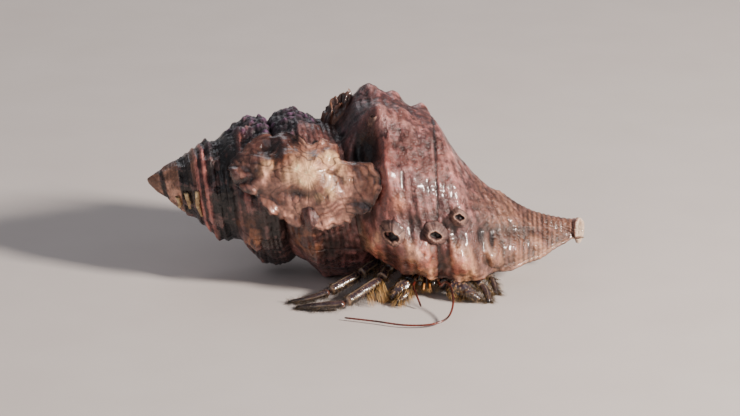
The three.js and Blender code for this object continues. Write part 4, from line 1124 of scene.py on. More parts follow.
# Each limb length: its joints, its radii from end to end, and its kind.
LIMBS = {
    "claw_merus_right": ([(11.7, -14.2, 4.4), (11.7, -18.8, 4.2)], [1.1, 1.35, 1.3], "leg"),
    "claw_carpus_right": ([(11.6, -19.3, 4.1), (11.1, -22.1, 3.7)], [1.3, 1.65, 1.5], "claw"),
    "claw_merus_left": ([(20.3, -14.2, 4.4), (20.3, -19.4, 4.1)], [1.1, 1.35, 1.3], "leg"),
    "claw_carpus_left": ([(20.4, -19.9, 4), (21, -22.8, 3.5)], [1.3, 1.65, 1.5], "claw"),
    "leg2_merus_right": ([(11, -11.6, 7), (5.4, -19, 6.6)], [1.2, 1.6, 1.5], "leg"),
    "leg2_carpus_right": ([(5.1, -19.4, 6.5), (3.9, -23.2, 5.3)], [1.3, 1.55, 1.5], "leg"),
    "leg2_propodus_right": ([(3.6, -23.8, 5.1), (-0.8, -28.5, 3.6), (-5.6, -33.2, 2.1)],
                            [1.4, 1.55, 1.45, 1.3], "leg"),
    "leg2_dactyl_right": ([(-6.1, -33.7, 1.9), (-12.5, -34, 1.5), (-18.8, -31.6, 0.25)],
                          [1.3, 1.2, 0.95, 0.55], "dactyl"),
    "leg3_merus_right": ([(11, -8.2, 8.1), (3, -14.4, 7.4)], [1.2, 1.5, 1.4], "leg"),
    "leg3_carpus_right": ([(2.6, -15.2, 7), (-1.6, -19.3, 5.3)], [1.3, 1.45, 1.35], "leg"),
    "leg3_propodus_right": ([(-2, -19.7, 5.1), (-9.8, -26, 2.8)], [1.3, 1.4, 1.25], "leg"),
    "leg3_dactyl_right": ([(-10.3, -26.4, 2.6), (-15.5, -28.4, 1.5), (-20.8, -27.2, 0.25)],
                          [1.2, 1, 0.8, 0.5], "dactyl"),
    "leg2_merus_left": ([(21, -11.4, 6.8), (24.4, -15.8, 6.4)], [1.2, 1.6, 1.5], "leg"),
    "leg2_carpus_left": ([(24.7, -16.2, 6.2), (27.3, -18.5, 5)], [1.3, 1.4, 1.3], "leg"),
    "leg2_propodus_left": ([(27.6, -18.9, 4.6), (30.7, -22.4, 2.9)], [1.2, 1.25, 1.15], "leg"),
    "leg2_dactyl_left": ([(31, -22.8, 3), (32.1, -25.4, 1.7), (32.4, -27.9, 0.25)],
                         [1.1, 1, 0.85, 0.5], "dactyl"),
    "leg3_merus_left": ([(21, -8.6, 7.8), (26.6, -11.1, 7.4)], [1.2, 1.5, 1.4], "leg"),
    "leg3_carpus_left": ([(27, -11.3, 7.3), (30.1, -13.4, 6)], [1.25, 1.4, 1.3], "leg"),
    "leg3_propodus_left": ([(30.4, -13.7, 5.8), (33.2, -16.9, 3.3)], [1.2, 1.3, 1.15], "leg"),
    "leg3_dactyl_left": ([(33.4, -17.3, 3.1), (34.3, -19.4, 1.6), (34.6, -21.6, 0.25)],
                         [1.05, 0.9, 0.75, 0.5], "dactyl"),
    "leg4_right": ([(12.6, -8, 10.4), (9, -9.6, 10.6), (7.4, -12.4, 9.9)], [0.8, 0.7, 0.45], "small"),
    "leg4_left": ([(19.4, -8, 10.4), (23, -9.6, 10.6), (24.6, -12.4, 9.9)], [0.8, 0.7, 0.45], "small"),
    "leg5_right": ([(11.2, -6.6, 12.2), (9.4, -7.6, 13), (8.8, -10.4, 12.6)], [0.7, 0.6, 0.4], "small"),
    "leg5_left": ([(20.8, -6.6, 12.2), (22.6, -7.6, 13), (23.2, -10.4, 12.6)], [0.7, 0.6, 0.4], "small"),
    "claw_palm_right": ([(10.8, -22.8, 3.6), (9.5, -24.6, 3.1), (7.7, -26.6, 2.2), (6.5, -28, 1.1)],
                        [1.5, 2.1, 2, 1.2, 0.6], "claw"),
    "claw_finger_right": ([(11.1, -27, 3.1), (9.6, -29, 2.1), (7.9, -30.3, 1)],
                          [0.75, 0.95, 0.8, 0.5], "finger"),
    "claw_palm_left": ([(21.6, -23.6, 3.1), (24, -24.1, 2.7), (27, -24.6, 2.1), (29.6, -25.2, 1)],
                       [1.5, 2, 2, 1.2, 0.6], "claw"),
    "claw_finger_left": ([(26.2, -27.2, 2.9), (28.3, -27.4, 2), (30.3, -27.3, 0.9)],
                         [0.8, 1, 0.85, 0.5], "finger"),
}
ANTENNAE = {
    "antenna_left": ([(19.1, -23.8, 4.6), (19.7, -26.3, 4.6), (20.8, -28.6, 6.3), (22.3, -32.4, 6.1),
                      (22.7, -38.6, 3.5), (21, -44, 1.6), (17, -46.9, 1), (10.4, -47.2, 0.85),
                      (2.3, -44.1, 0.85), (-5.8, -41.2, 0.8)], [0.32, 0.31, 0.3, 0.28, 0.26, 0.25]),
    "antenna_right": ([(12.9, -23.8, 4.7), (12.4, -26, 4.4), (13.3, -29.6, 2.9), (14.4, -32.6, 0.9)],
                      [0.32, 0.3, 0.28, 0.26]),
}
DARK_LEGS = ("leg2_dactyl_right", "leg3_propodus_right", "leg3_dactyl_right", "leg2_propodus_right")
MOUTH_FOOT = [(0.85, -16.9, 3.9), (1, -19.9, 2.5), (0.8, -22.4, 2.2)]
TAIL_RADIUS = 15.2
# Each kind of limb length: its grid, the shares of it that round its ends, its granules' size and
# depth, how pale its stripes and granules are, and how many bristles it has and how long.
KINDS = {
    "leg": dict(grid=(72, 52), ends=(0.16, 0.09), granule=0.62, depth=0.05, stripes=0.4, pale=0.3,
                bristles=240, length=0.95),
    "claw": dict(grid=(84, 72), ends=(0.16, 0.2), granule=0.8, depth=0.17, stripes=0.15, pale=0.75,
                 bristles=420, length=1.1),
    "dactyl": dict(grid=(72, 52), ends=(0.1, 0.12), granule=0.5, depth=0.04, stripes=0.2, pale=0.2,
                   bristles=420, length=1.25),
    "finger": dict(grid=(72, 52), ends=(0.16, 0.2), granule=0.6, depth=0.09, stripes=0.15, pale=0.5,
                   bristles=180, length=0.8),
    "small": dict(grid=(44, 28), ends=(0.1, 0.2), granule=0.5, depth=0.03, stripes=0.3, pale=0.2,
                  bristles=90, length=0.7),
}


def curve(joints, u):
    """Centripetal Catmull-Rom curve through the joints at shares u, and its unit direction there."""
    p = np.asarray(joints, float)
    p = np.concatenate([2 * p[:1] - p[1:2], p, 2 * p[-1:] - p[-2:-1]])
    gap = np.maximum(np.linalg.norm(np.diff(p, axis=0), axis=1), 1e-6) ** 0.5
    x = np.clip(np.asarray(u, float), 0, 1) * (len(joints) - 1)
    k = np.minimum(x.astype(int), len(joints) - 2)
    w = (x - k)[:, None]
    a, b, c = gap[k][:, None], gap[k + 1][:, None], gap[k + 2][:, None]
    p0, p1, p2, p3 = p[k], p[k + 1], p[k + 2], p[k + 3]
    m1 = ((p1 - p0) / a - (p2 - p0) / (a + b) + (p2 - p1) / b) * b
    m2 = ((p2 - p1) / b - (p3 - p1) / (b + c) + (p3 - p2) / c) * b
    at = (p1 * (1 + 2 * w) * (1 - w) ** 2 + m1 * w * (1 - w) ** 2 + p2 * w * w * (3 - 2 * w)
          + m2 * w * w * (w - 1))
    along = (p2 - p1) * 6 * w * (1 - w) + m1 * (1 - w) * (1 - 3 * w) + m2 * w * (3 * w - 2)
    return at, unit_length(along)


def frames(along):
    """Sideways and upward unit vectors across a path that runs along the given directions."""
    across = np.cross([0, 0, 1.0], along)
    short = np.linalg.norm(across, axis=1, keepdims=True)
    across = np.where(short < 1e-2, [1.0, 0, 0], across / np.maximum(short, 1e-6))
    return across, np.cross(along, across)


def swept(joints, radii, stations, sides, flat=1.0, ends=(0.1, 0.1), back=0.0):
    """A tube round the path through the joints, flattened by flat. Gives its middle points, its
    directions out, its radii (smooth, times rounded ends), and its shares along and angles round."""
    joints = np.asarray(joints, float)
    if back:
        start = joints[0] - joints[1]
        joints = joints.copy()
        joints[0] = joints[0] + start / np.linalg.norm(start) * back
    u = 0.5 - 0.5 * np.cos(np.linspace(0, np.pi, stations))
    u = mix(np.linspace(0, 1, stations), u, 0.7)
    at, along = curve(joints, u)
    across, rise = frames(along)
    radius = smooth_table(u, np.linspace(0, 1, len(radii)), radii)
    near = np.clip(u / ends[0], 0, 1)
    far = np.clip((1 - u) / ends[1], 0, 1)
    radius = radius * np.sqrt(np.maximum(1 - (1 - near) ** 2, 0)) * np.sqrt(np.maximum(1 - (1 - far) ** 2, 0))
    a = round_angles(sides)
    out = across[:, None] * np.cos(a)[None, :, None] + rise[:, None] * np.sin(a)[None, :, None] * flat
    return at, out, np.maximum(radius, 0.004)[:, None], u[:, None], a[None]


def tube_points(at, out, size):
    """Points of a tube: from its middle points along its directions out by a size."""
    return at[:, None] + out * size[..., None]


def tube_faces(stations, sides):
    """Quads of a tube that is closed round, facing out, with a triangle fan at each end's pole."""
    quads = grid_quads(stations, sides, close_columns=True)
    first = fan(stations * sides, np.arange(sides), flip=True)
    last = fan(stations * sides + 1, (stations - 1) * sides + np.arange(sides))
    return quads, np.concatenate([first, last])


def add_tube(body, p, tone, wet):
    """Adds a grid of tube points, closed at both ends, facing out."""
    stations, sides = p.shape[:2]
    quads, tris = tube_faces(stations, sides)
    points = np.concatenate([p.reshape(-1, 3), p[0].mean(0)[None], p[-1].mean(0)[None]])
    tone = np.broadcast_to(tone, p.shape).reshape(-1, 3)
    tone = np.concatenate([tone, tone[:1], tone[-1:]])
    wet = np.broadcast_to(wet, p.shape[:2]).reshape(-1)
    body.add(points, tone, np.concatenate([wet, wet[:1], wet[-1:]]), quads=quads, tris=tris)


def tube_piece(name, p, tone, wet, look, node, weld=0.0):
    """A piece that is one closed tube of points, in place of one node."""
    body = Shape()
    add_tube(body, p, tone, wet)
    make_piece(name, body, look, [node], weld)


def limb_grid(name):
    """Surface grid of one limb length: tube, collar at the far joint, granules and a ridge on top."""
    joints, radii, kind = LIMBS[name]
    own = KINDS[kind]
    back = 0.0 if kind == "small" else 0.55
    flat = 0.85 if kind == "dactyl" else 1.05
    at, out, radius, u, a = swept(joints, radii, *own["grid"], flat, own["ends"], back)
    p = tube_points(at, out, radius)
    first, _ = cells(p, own["granule"], 151)
    grain = smoothstep(0.62, 0.15, first)
    collar = 0.09 * bell(u, 0.88, 0.05) - 0.12 * bell(u, 0.075, 0.05)
    if kind in ("dactyl", "finger"):
        collar = 0.05 * np.sin(u * 40) * bell(u, 0.5, 0.4) * 0.3
    keel = 0.06 * bell(turned(np.degrees(a), 90), 0, 22)
    lumps = 0.05 * rough(p, 2.0, 152, 2)
    grow = radius * (1 + collar + keel + lumps) + own["depth"] * grain * smoothstep(0, 0.3, radius)
    p = tube_points(at, out, grow)
    above_floor(p, 0.02)
    return p, out, u, a, grain


def limb_colours(kind, p, u, a, grain):
    """Dark olive cuticle with a painted purple-grey sheen on its upper side, pale length stripes, pale
    granules and horny tips.
    """
    wide = u + 0 * a
    own = KINDS[kind]
    tone = mix(DARK, OLIVE, smoothstep(-0.5, 0.8, rough(p, 1.8, 161, 3)))
    # painted sheen: purple-grey on the upper side
    upper = smoothstep(-0.2, 0.7, np.sin(a) + 0.4 * rough(p, 1.2, 162, 2))
    tone = mix(tone, SHEEN_PURPLE, 0.45 * upper * np.ones_like(wide))
    waver = 0.1 * line_noise(wide * 6, 163, 2)
    degrees = np.degrees(a) + 30 * waver
    stripes = sum(bell(turned(degrees, middle), 0, 8) for middle in (20, 88, 160, 235, 310))
    shown = own["stripes"] * stripes * smoothstep(0.06, 0.2, wide) * smoothstep(1, 0.86, wide)
    tone = mix(tone, STRIPE, np.clip(shown, 0, 1))
    tone = paint(tone, "a07c58", own["pale"] * smoothstep(0.45, 0.95, grain))
    tone = paint(tone, "6d4434", 0.7 * smoothstep(0.09, 0.02, wide))
    if kind in ("dactyl", "finger", "claw"):
        tone = mix(tone, HORN, smoothstep(0.86, 0.95, wide))
    else:
        tone = paint(tone, "9a7a5a", 0.5 * bell(wide, 0.95, 0.025))
    return tone


def build_limbs():
    """Every limb length as its own piece."""
    for name, (_, _, kind) in LIMBS.items():
        p, _, u, a, grain = limb_grid(name)
        tone = limb_colours(kind, p, u, a, grain)
        tube_piece(name + "_cuticle", p, tone, 0.7 + 0.3 * grain, CUTICLE_LOOK, name)


def sphere_grid(rows=64, columns=84):
    """Points of a sphere of radius 1. Row 0 is its front pole, at -Y."""
    v = np.linspace(0, np.pi, rows)[:, None]
    a = round_angles(columns)[None]
    return np.stack([np.sin(v) * np.cos(a), -np.cos(v) + 0 * a, np.sin(v) * np.sin(a)], axis=-1)


def pitched(unit, centre, half, pitch):
    """An egg: unit points scaled by half sizes, pitched about X and moved to the centre."""
    q = unit * np.asarray(half, float)
    c = np.cos(np.radians(pitch))
    s = np.sin(np.radians(pitch))
    tipped = np.stack([q[..., 0], c * q[..., 1] - s * q[..., 2], s * q[..., 1] + c * q[..., 2]], axis=-1)
    return tipped + np.asarray(centre, float)


def build_head_shield():
    """The hard shield: an egg with a neck groove, a small beak, side lobes and pitted, mottled skin."""
    unit = sphere_grid()
    y, x, z = unit[..., 1], unit[..., 0], unit[..., 2]
    groove = bell(y, 0.3 - 0.35 * x * x, 0.07) * smoothstep(0.0, 0.4, z)
    middle_groove = bell(x, 0, 0.05) * smoothstep(0.1, 0.6, z) * smoothstep(-0.2, 0.4, y)
    beak = bell(x, 0, 0.12) * smoothstep(-0.8, -0.99, y)
    lobes = (bell(x, 0.42, 0.1) + bell(x, -0.42, 0.1)) * smoothstep(-0.7, -0.9, y)
    size = 1 - 0.05 * groove - 0.03 * middle_groove + 0.05 * beak + 0.03 * lobes
    p = pitched(unit * size[..., None], (CRAB_X, -14.9, 8.4), (4.8, 6, 2.5), 30)
    first, _ = cells(p, 0.8, 171)
    p = p + 0.06 * smoothstep(0.5, 0.1, first)[..., None] * unit
    tone = mottle(p, 2.2, 172, 4, "6b5138", "c8a980", -0.3, 0.6)
    tone = mix(tone, DARK, 0.7 * smoothstep(0.1, 0.7, rough(p, 1.6, 173, 3)))
    tone = paint(tone, "8d4a34", 0.6 * np.clip(groove + middle_groove, 0, 1))
    tube_piece("head_shield", p, tone, 0.75, CUTICLE_LOOK, "carapace_shield", weld=0.001)


def build_breast_plates():
    """The plates between the legs: an egg with low ribs across its underside."""
    unit = sphere_grid(44, 56)
    ribs = 1 + 0.04 * np.cos(unit[..., 1] * 16) * smoothstep(-0.2, 0.5, -unit[..., 2])
    p = pitched(unit * ribs[..., None], (CRAB_X, -11.3, 4.7), (2.9, 4.6, 1.9), 12)
    tone = mottle(p, 1.8, 174, 3, "7a5c44", "c3a482", -0.4, 0.6)
    tube_piece("breast_plates", p, tone, 0.7, CUTICLE_LOOK, "thorax", weld=0.001)


def hollow_middle(t):
    """Axial place of the middle of the hollow, t turns back."""
    return suture_at(t) + 0.55 * whorl_height(t)


def build_soft_body():
    """One soft skin from the rear of the carapace to the tail: a tube on the hollow's middle line
    with slack folds across it and fine wrinkles."""
    angles = np.linspace(112, -26, 14)
    middle_at = [-112, -97, -80, -59, -40, -19, 0, 26]
    radius = smooth_table(-angles, middle_at, [13.6, 14.6, 15.2, 15.5, 15.5, 15.5, 15.5, 15.2])
    joints = place(hollow_middle((LIP_ANGLE - angles) / 360), radius, angles)
    radii = [4.1, 4.6, 4.75, 5.3, 6.0, 6.15, 6.15, 6.2, 6.1, 5.9, 5.6, 5.0, 4.2, 3.2]
    at, out, size, u, a = swept(joints, radii, 260, 96, 1.0, (0.05, 0.06))
    folds = -0.22 * bell(np.sin(np.pi * (u * 11 + 0.05 * np.cos(a))), 0, 0.22)
    p = tube_points(at, out, size * 0.985)
    wrinkle = 0.09 * rough(p, 1.6, 181, 3) + 0.12 * rough(p, 5, 182, 2)
    p = p + out * (folds * smoothstep(0, 2, size) + wrinkle - 0.05)[..., None]
    tone = mottle(p, 4, 183, 4, "b57a5e", "d7a688", -0.5, 0.6)
    tone = paint(tone, "8a4c3c", np.clip(-2.6 * folds, 0, 0.6))
    tone = paint(tone, "7a5a58", 0.5 * smoothstep(0.2, 0.8, rough(p, 2.2, 184, 3)))
    tone = paint(tone, "6b5138", smoothstep(0.1, 0.02, u) * np.ones_like(a) * 0.6)
    body = Shape()
    add_tube(body, p, tone, 0.65)
    flesh = ["carapace_rear", "abdomen_front", "abdomen_middle", "abdomen_rear"]
    make_piece("soft_body", body, SOFT_LOOK, flesh)


def build_tail():
    """The tail's middle plate and the two uropods beside it."""
    angles = np.linspace(-30, -39, 4)
    joints = place(hollow_middle((LIP_ANGLE - angles) / 360), TAIL_RADIUS, angles)
    at, out, size, u, _ = swept(joints, [2.2, 2, 1.4], 48, 48, 0.95, (0.15, 0.2))
    p = tube_points(at, out, size * (1 - 0.05 * bell(u, 0.5, 0.08)))
    tone = mottle(p, 1.2, 185, 3, "5b4434", "a98b68", -0.3, 0.6)
    tube_piece("tail_fan_middle", p, tone, 0.6, CUTICLE_LOOK, "tail_plate")
    for word, shift in (("right", 3.4), ("left", -3.4)):
        joints = []
        for outward, angle in ((0, -33), (1, -40), (2.2, -46)):
            middle = hollow_middle((LIP_ANGLE - angle) / 360)
            joints.append(place(middle + shift + np.sign(shift) * outward * 0.6, TAIL_RADIUS, angle))
        at, out, size, _, _ = swept(joints, [0.7, 0.9, 0.5], 36, 28)
        p = tube_points(at, out, size)
        first, _ = cells(p, 0.35, 186)
        p = p + out * (0.06 * smoothstep(0.5, 0.1, first))[..., None]
        tone = mix(linear("5b4434"), linear("b49468"), smoothstep(0.5, 0.1, first))
        tube_piece(f"uropod_{word}_cuticle", p, tone, 0.5, CUTICLE_LOOK, f"uropod_{word}")


def on_side(points, m):
    """Points told by their distance out from the crab's middle, on its right (-1) or its left (1)."""
    return [(CRAB_X + m * out, y, z) for out, y, z in points]


def build_eye(word, m):
    """A banded stalk and a faceted cornea."""
    joints = on_side([(1.15, -20.6, 5.9), (1.65, -23.5, 4.95)], m)
    radii = [0.5, 0.42, 0.44, 0.52]
    at, out, size, u, a = swept(joints, radii, 56, 40, 1.0, (0.12, 0.08), back=0.5)
    p = tube_points(at, out, size * (1 + 0.03 * np.cos(5 * a)))
    bands = np.clip(sum(bell(turned(np.degrees(a), mid), 0, 15) for mid in (0, 90, 180, 270)), 0, 1)
    tone = mix(linear("3b2a22"), linear("d8b67c"), bands * np.ones_like(u) * smoothstep(0.05, 0.2, u))
    tone = paint(tone, "f0d9a8", 0.7 * bell(u, 0.93, 0.03) * np.ones_like(a))
    tube_piece(f"eyestalk_{word}_cuticle", p, tone, 0.8, CUTICLE_LOOK, f"eyestalk_{word}")

    unit = sphere_grid(56, 72)
    p = pitched(unit, on_side([(1.82, -24.5, 4.7)], m)[0], (0.62, 0.72, 0.62), 12)
    first, _ = cells(p, 0.085, 191)
    p = p + unit * (0.008 * smoothstep(0.7, 0.1, first))[..., None]
    tone = mix(linear("0c0a0a"), linear("2e2620"), smoothstep(0.6, 0.1, first))
    tone = paint(tone, "4a5a50", 0.35 * smoothstep(0.2, 0.8, rough(unit, 0.8, 192, 2)))
    tone = paint(tone, "c9a66c", smoothstep(0.62, 0.8, unit[..., 1]))
    tube_piece(f"eye_{word}_cornea", p, tone, 1.0, EYE_LOOK, f"eye_{word}", weld=0.001)


def build_antennule(word, m):
    """A short jointed feeler, ringed and orange in its outer part."""
    joints = on_side([(0.45, -20.3, 4.6), (0.6, -22.9, 3.9), (0.75, -24.9, 4.3), (0.9, -27.2, 3.8)], m)
    at, out, size, u, a = swept(joints, [0.38, 0.34, 0.28, 0.26], 120, 20, 1.0, (0.03, 0.05))
    joints_in = 0.14 * (bell(u, 0.34, 0.015) + bell(u, 0.62, 0.015))
    rings = 0.05 * np.sin(u * 260) * smoothstep(0.62, 0.7, u)
    p = tube_points(at, out, size * (1 - joints_in + rings))
    tone = mix(linear("7c4a2a"), linear("d08c48"), smoothstep(0.3, 0.9, u) * np.ones_like(a))
    tone = mix(tone, DARK, np.clip(6 * joints_in, 0, 1) * np.ones_like(a))
    tube_piece(f"antennule_{word}_flagellum", p, tone, 0.6, FEELER_LOOK, f"antennule_{word}")


def build_antenna_base(word, m):
    """The stout base of a long feeler, with a pointed scale beside it."""
    joints = on_side([(2.6, -19.7, 6), (3, -23.2, 4.9)], m)
    at, out, size, u, _ = swept(joints, [0.65, 0.68, 0.6, 0.5], 64, 32, 1.0, (0.12, 0.12))
    p = tube_points(at, out, size * (1 + 0.07 * bell(u, 0.42, 0.04) - 0.14 * bell(u, 0.5, 0.03)))
    joints = on_side([(3.2, -20.8, 6.1), (3.9, -22.8, 5.9)], m)
    at, out, size, _, _ = swept(joints, [0.26, 0.22, 0.05], 30, 14)
    tone = mottle(p, 0.9, 193, 3, "3a2a26", "8a5c3c", -0.3, 0.5)
    body = Shape()
    add_tube(body, p, tone, 0.7)
    add_tube(body, tube_points(at, out, size), linear("9c7048"), 0.6)
    make_piece(f"antenna_base_{word}_cuticle", body, CUTICLE_LOOK, [f"antenna_base_{word}"])


def build_mouth_foot(word, m):
    """One of the two mouth feet, narrowed at three joints."""
    at, out, size, u, _ = swept(on_side(MOUTH_FOOT, m), [0.7, 0.65, 0.4], 80, 28, 0.8, (0.08, 0.1))
    joints_in = 0.16 * (bell(u, 0.3, 0.02) + bell(u, 0.55, 0.02) + bell(u, 0.78, 0.02))
    p = tube_points(at, out, size * (1 - joints_in))
    tone = mottle(p, 1.1, 194, 3, "5c4230", "b08a5c", -0.3, 0.5)
    tube_piece(f"maxilliped_{word}_cuticle", p, tone, 0.6, CUTICLE_LOOK, f"maxilliped_{word}")


def build_face():
    """Eyes, antennules, antenna bases and mouth feet, on the right and then on the left."""
    for word, m in SIDES.items():
        for build in (build_eye, build_antennule, build_antenna_base, build_mouth_foot):
            build(word, m)


def build_antennae():
    """Long dark red whips: a tube of short rings, each ring swollen a little at its far end."""
    for name, (joints, radii) in ANTENNAE.items():
        length = np.linalg.norm(np.diff(np.array(joints), axis=0), axis=1).sum()
        stations = int(length * 6)
        at, out, size, u, a = swept(joints, radii, stations, 14, 1.0, (0.01, 0.01))
        ring = (u * length / 0.8) % 1
        swollen = 0.93 + 0.1 * smoothstep(0.2, 0.95, ring) * smoothstep(1, 0.96, ring)
        p = tube_points(at, out, size * swollen)
        above_floor(p, 0.05)
        tone = mottle(p, 3, 195, 3, "3a1712", "6e2a1c", -0.4, 0.6)
        tone = paint(tone, "1f0f0d", 0.6 * bell(ring, 0.97, 0.08) * np.ones_like(a))
        tube_piece(name + "_whip", p, tone, 0.6, FEELER_LOOK, name)


# ---- bristles -----------------------------------------------------------------------------------
SPIKE_STEPS = np.array([-0.06, 0.3, 0.65, 1.0])
SPIKE_TAPER = np.array([1.0, 0.8, 0.5, 0.12])
SPIKE_SIDES = 3
BAKE_PATCH = 0.003


def bristle_coat(name, parts, droop=0.25):
    """Curved tapering spikes: each leaves its root along its way and bends down by droop towards
    its tip; three sides and four steps each. The OFBake map holds each spike at its root's place."""
    roots, ways, lengths, thick, tones, places = (np.concatenate(column) for column in zip(*parts))
    count = len(roots)
    levels = len(SPIKE_STEPS)
    size = levels * SPIKE_SIDES
    steps = SPIKE_STEPS[None, :, None]
    reach = steps * lengths[:, None, None]
    bend = np.array([0, 0, -1.0]) * droop * steps**2 * lengths[:, None, None]
    at = roots[:, None] + ways[:, None] * reach + bend * np.abs(steps)
    across, rise = frames(ways)
    a = round_angles(SPIKE_SIDES)
    out = across[:, None, None] * np.cos(a)[:, None] + rise[:, None, None] * np.sin(a)[:, None]
    p = at[:, :, None] + out * (thick[:, None] * SPIKE_TAPER[None])[:, :, None, None]
    above_floor(p, 0.03)
    base = (np.arange(count) * size)[:, None, None]
    local = grid_quads(levels, SPIKE_SIDES, close_columns=True)[None]
    caps = np.array([[2, 1, 0], [9, 10, 11]])[None]
    shade = mix(tones[:, None] * 0.55, tones[:, None] * 1.25, steps * np.ones((count, levels, 1)))
    shade = np.repeat(shade[:, :, None], SPIKE_SIDES, axis=2)
    body = Shape()
    body.add(p.reshape(-1, 3), shade.reshape(-1, 3), 0.5, quads=(local + base).reshape(-1, 4),
             tris=(caps + base).reshape(-1, 3))
    piece = make_piece(name, body, BRISTLE_LOOK, ())
    grid = np.stack(np.meshgrid(SPIKE_STEPS, a / (2 * np.pi), indexing="ij"), axis=-1)
    uv = (places[:, None] + BAKE_PATCH * grid.reshape(1, size, 2)).reshape(-1, 2)
    layer = piece.data.uv_layers.new(name="OFBake")
    corner = np.zeros(len(piece.data.loops), np.int32)
    piece.data.loops.foreach_get("vertex_index", corner)
    layer.data.foreach_set("uv", uv[corner].astype(np.float32).ravel())


def bake_places(column, row, spot_at):
    """Places on the OFBake map: one limb's own unwrap in one of 6 x 6 cells."""
    return np.array([column, row]) / 6 + (0.02 + 0.9 * spot_at) / 6


def scattered(p, out, u_range, a_range, count, seed):
    """Random roots on a limb's grid: points, outward ways, direction along, and shares (u, a)."""
    draw = np.random.default_rng(seed)
    rows, columns = p.shape[:2]
    r = np.clip((draw.uniform(*u_range, count) * (rows - 1)).astype(int), 1, rows - 2)
    c = (draw.uniform(*a_range, count) / 360 * columns).astype(int) % columns
    root = p[r, c] + draw.normal(0, 0.05, (count, 3))
    along = p[r + 1].mean(1) - p[r - 1].mean(1)
    spot_at = np.stack([r / rows, c / columns], axis=-1)
    return root, unit_length(out[r, c]), unit_length(along), spot_at, draw


def build_bristles():
    """Short bristles over every limb, longer and denser on the edges, joined into a few coats."""
    groups = {"right_legs": [], "left_legs": [], "claws": []}
    for order, (name, (_, _, kind)) in enumerate(LIMBS.items()):
        p, out, _, _, _ = limb_grid(name)
        side = "right_legs" if name.endswith("right") else "left_legs"
        key = "claws" if name.startswith("claw") else side
        count = KINDS[kind]["bristles"]
        for edge, share in (((0, 360), 0.4), ((-45, 25), 0.3), ((155, 225), 0.3)):
            number = int(count * share)
            root, normal, along, spot_at, draw = scattered(p, out, (0.1, 0.95), edge, number, 200 + order)
            lean = draw.uniform(0.3, 0.9, (number, 1))
            way = normal * (1 - 0.35 * lean) + along * lean + draw.normal(0, 0.14, (number, 3))
            way = unit_length(way)
            longer = 1.0 if edge == (0, 360) else 1.5
            tufted = 0.6 + 0.8 * (cell_value(np.floor(spot_at[:, 0] * 14), np.floor(spot_at[:, 1] * 10),
                                             np.zeros(number), 210) > 0.45)
            length = KINDS[kind]["length"] * longer * tufted * draw.uniform(0.45, 1.1, number)
            thick = draw.uniform(0.03, 0.045, number)
            bright = 0.35 if name in DARK_LEGS else 1.0
            tone = mix(linear("1c120e"), GOLD, bright * draw.uniform(0, 1, number) ** 2.5)
            places = bake_places(order % 6, order // 6, spot_at)
            groups[key].append((root, way, length, thick, tone, places))
    for key, parts in groups.items():
        bristle_coat(f"{key}_bristles", parts)


def build_fringe():
    """Long golden bristles fanned out from the claws, mouth feet and the front legs' lower edges."""
    parts = []
    fans = [
        ("claw_palm_right", (0.1, 0.95), (150, 400), 210, 4.6, (-0.35, -0.55, -0.75)),
        ("claw_carpus_right", (0.2, 1.0), (120, 400), 90, 4.4, (-0.3, -0.6, -0.6)),
        ("claw_finger_right", (0.1, 0.9), (0, 360), 90, 2.8, (0.1, -0.6, -0.6)),
        ("leg2_propodus_right", (0.0, 0.55), (-60, 30), 95, 4.8, (0.2, -0.45, -0.8)),
        ("claw_palm_left", (0.1, 0.9), (150, 400), 160, 2.8, (0.2, -0.6, -0.5)),
    ]
    for order, (name, u_range, a_range, count, long, pull) in enumerate(fans):
        p, out, _, _, _ = limb_grid(name)
        root, normal, along, spot_at, draw = scattered(p, out, u_range, a_range, count, 300 + order)
        way = 0.55 * normal + 0.35 * along + np.array(pull) + draw.normal(0, 0.14, (count, 3))
        way = unit_length(way)
        length = long * draw.uniform(0.4, 1.1, count)
        low = np.maximum(-way[:, 2], 0.05)
        length = np.minimum(length, np.maximum(root[:, 2] / low, 0.6))
        tone = mix(linear("8a5c2c"), linear("e0b878"), draw.uniform(0, 1, count))
        thick = draw.uniform(0.07, 0.11, count)
        parts.append((root, way, length, thick, tone, bake_places(order, 5, spot_at)))
    for m in (-1, 1):
        draw = np.random.default_rng(320 + m)
        count = 260
        u = draw.uniform(0.2, 1, count)
        at, along = curve(on_side(MOUTH_FOOT, m), u)
        way = 0.5 * along + draw.normal(0, 0.45, (count, 3)) + np.array([0, -0.2, -0.3])
        way = unit_length(way)
        tone = mix(linear("8a5c2c"), linear("e0b878"), draw.uniform(0, 1, count))
        places = np.stack([(5 + 0.1 + 0.8 * u) / 6 - 0.001, (5.3 + 0.2 * m + 0 * u) / 6], axis=-1)
        length = draw.uniform(0.6, 1.9, count)
        thick = draw.uniform(0.035, 0.05, count)
        parts.append((at, way, length, thick, tone, places))
    bristle_coat("front_fringe", parts, droop=0.12)


# ---- floor, light and camera, in metres ---------------------------------------------------------
FRAME_WIDTH = 0.1998
LENS = 200.0
SENSOR = 36.0
ELEVATION = 18.0
TARGET = (0.0011, 0.0099, 0.0176)


def floor_material():
    """Plain pale matt ground with a slight unevenness of tone."""
    made = bpy.data.materials.new("studio_floor")
    made.use_nodes = True
    nodes, links = made.node_tree.nodes, made.node_tree.links
    shader = nodes["Principled BSDF"]
    place_at = nodes.new("ShaderNodeTexCoord").outputs["Object"]
    cloud = nodes.new("ShaderNodeTexNoise")
    cloud.inputs["Scale"].default_value = 40
    cloud.inputs["Detail"].default_value = 6
    links.new(place_at, cloud.inputs["Vector"])
    ramp = nodes.new("ShaderNodeValToRGB")
    ramp.color_ramp.elements[0].color = (*linear("cfc6c1"), 1)
    ramp.color_ramp.elements[1].color = (*linear("dad2cd"), 1)
    links.new(cloud.outputs["Fac"], ramp.inputs["Fac"])
    links.new(ramp.outputs["Color"], shader.inputs["Base Color"])
    shader.inputs["Roughness"].default_value = 0.85
    return made


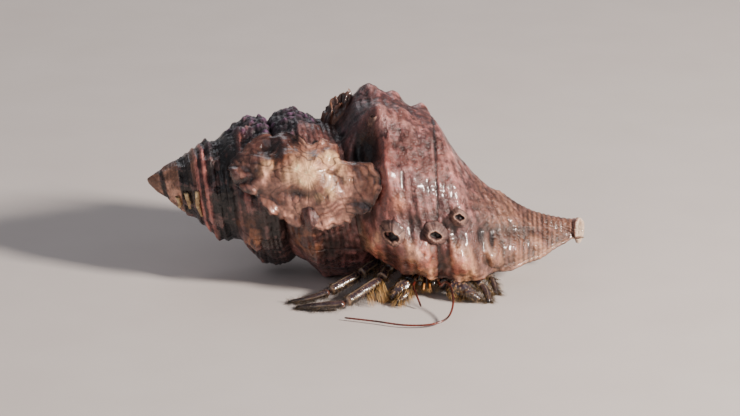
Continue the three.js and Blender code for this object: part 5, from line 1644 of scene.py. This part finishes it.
def area_light(name, spot_at, size, power, colour):
    """A square lamp that faces the middle of the model."""
    lamp = bpy.data.lights.new(name, "AREA")
    lamp.size = size
    lamp.energy = power
    lamp.color = colour
    holder = bpy.data.objects.new(name, lamp)
    holder.location = spot_at
    aim(holder, TARGET)
    bpy.context.scene.collection.objects.link(holder)


def aim(thing, at):
    """Turns a lamp or a camera so that its -Z axis points at a place."""
    thing.rotation_euler = (Vector(at) - thing.location).to_track_quat("-Z", "Y").to_euler()


def build_stage():
    """Floor, lamps, pale world and the camera."""
    bpy.ops.mesh.primitive_plane_add(size=6, location=(0, 0, 0))
    floor = bpy.context.object
    floor.name = "floor"
    floor.data.materials.append(floor_material())
    area_light("key_lamp", (0.72, -0.36, 0.42), 0.12, 19, (1.0, 0.9, 0.82))
    area_light("fill_lamp", (-0.5, -0.7, 0.6), 0.7, 1.2, (0.9, 0.92, 1.0))
    area_light("back_lamp", (-0.1, 0.8, 0.7), 0.6, 1.7, (0.95, 0.95, 1.0))
    world = bpy.data.worlds.new("studio")
    world.use_nodes = True
    world.node_tree.nodes["Background"].inputs["Color"].default_value = (0.86, 0.84, 0.9, 1)
    world.node_tree.nodes["Background"].inputs["Strength"].default_value = 0.22
    bpy.context.scene.world = world
    away = FRAME_WIDTH * LENS / SENSOR
    up = np.radians(ELEVATION)
    camera = bpy.data.objects.new("camera", bpy.data.cameras.new("camera"))
    camera.data.lens = LENS
    camera.data.sensor_width = SENSOR
    camera.data.clip_start = 0.01
    camera.location = (TARGET[0], TARGET[1] - away * np.cos(up), TARGET[2] + away * np.sin(up))
    aim(camera, TARGET)
    bpy.context.scene.collection.objects.link(camera)
    bpy.context.scene.camera = camera


# ---- the whole model ----------------------------------------------------------------------------
build_stage()
build_shell()
build_oyster()
build_top_growth()
for order, (name, sizes) in enumerate(BARNACLES.items()):
    build_barnacle(name, *sizes, order)
for order, (name, sizes) in enumerate(TUBES.items()):
    build_worm_tube(name, *sizes, order)
build_limbs()
build_head_shield()
build_breast_plates()
build_soft_body()
build_tail()
build_face()
build_antennae()
build_bristles()
build_fringe()
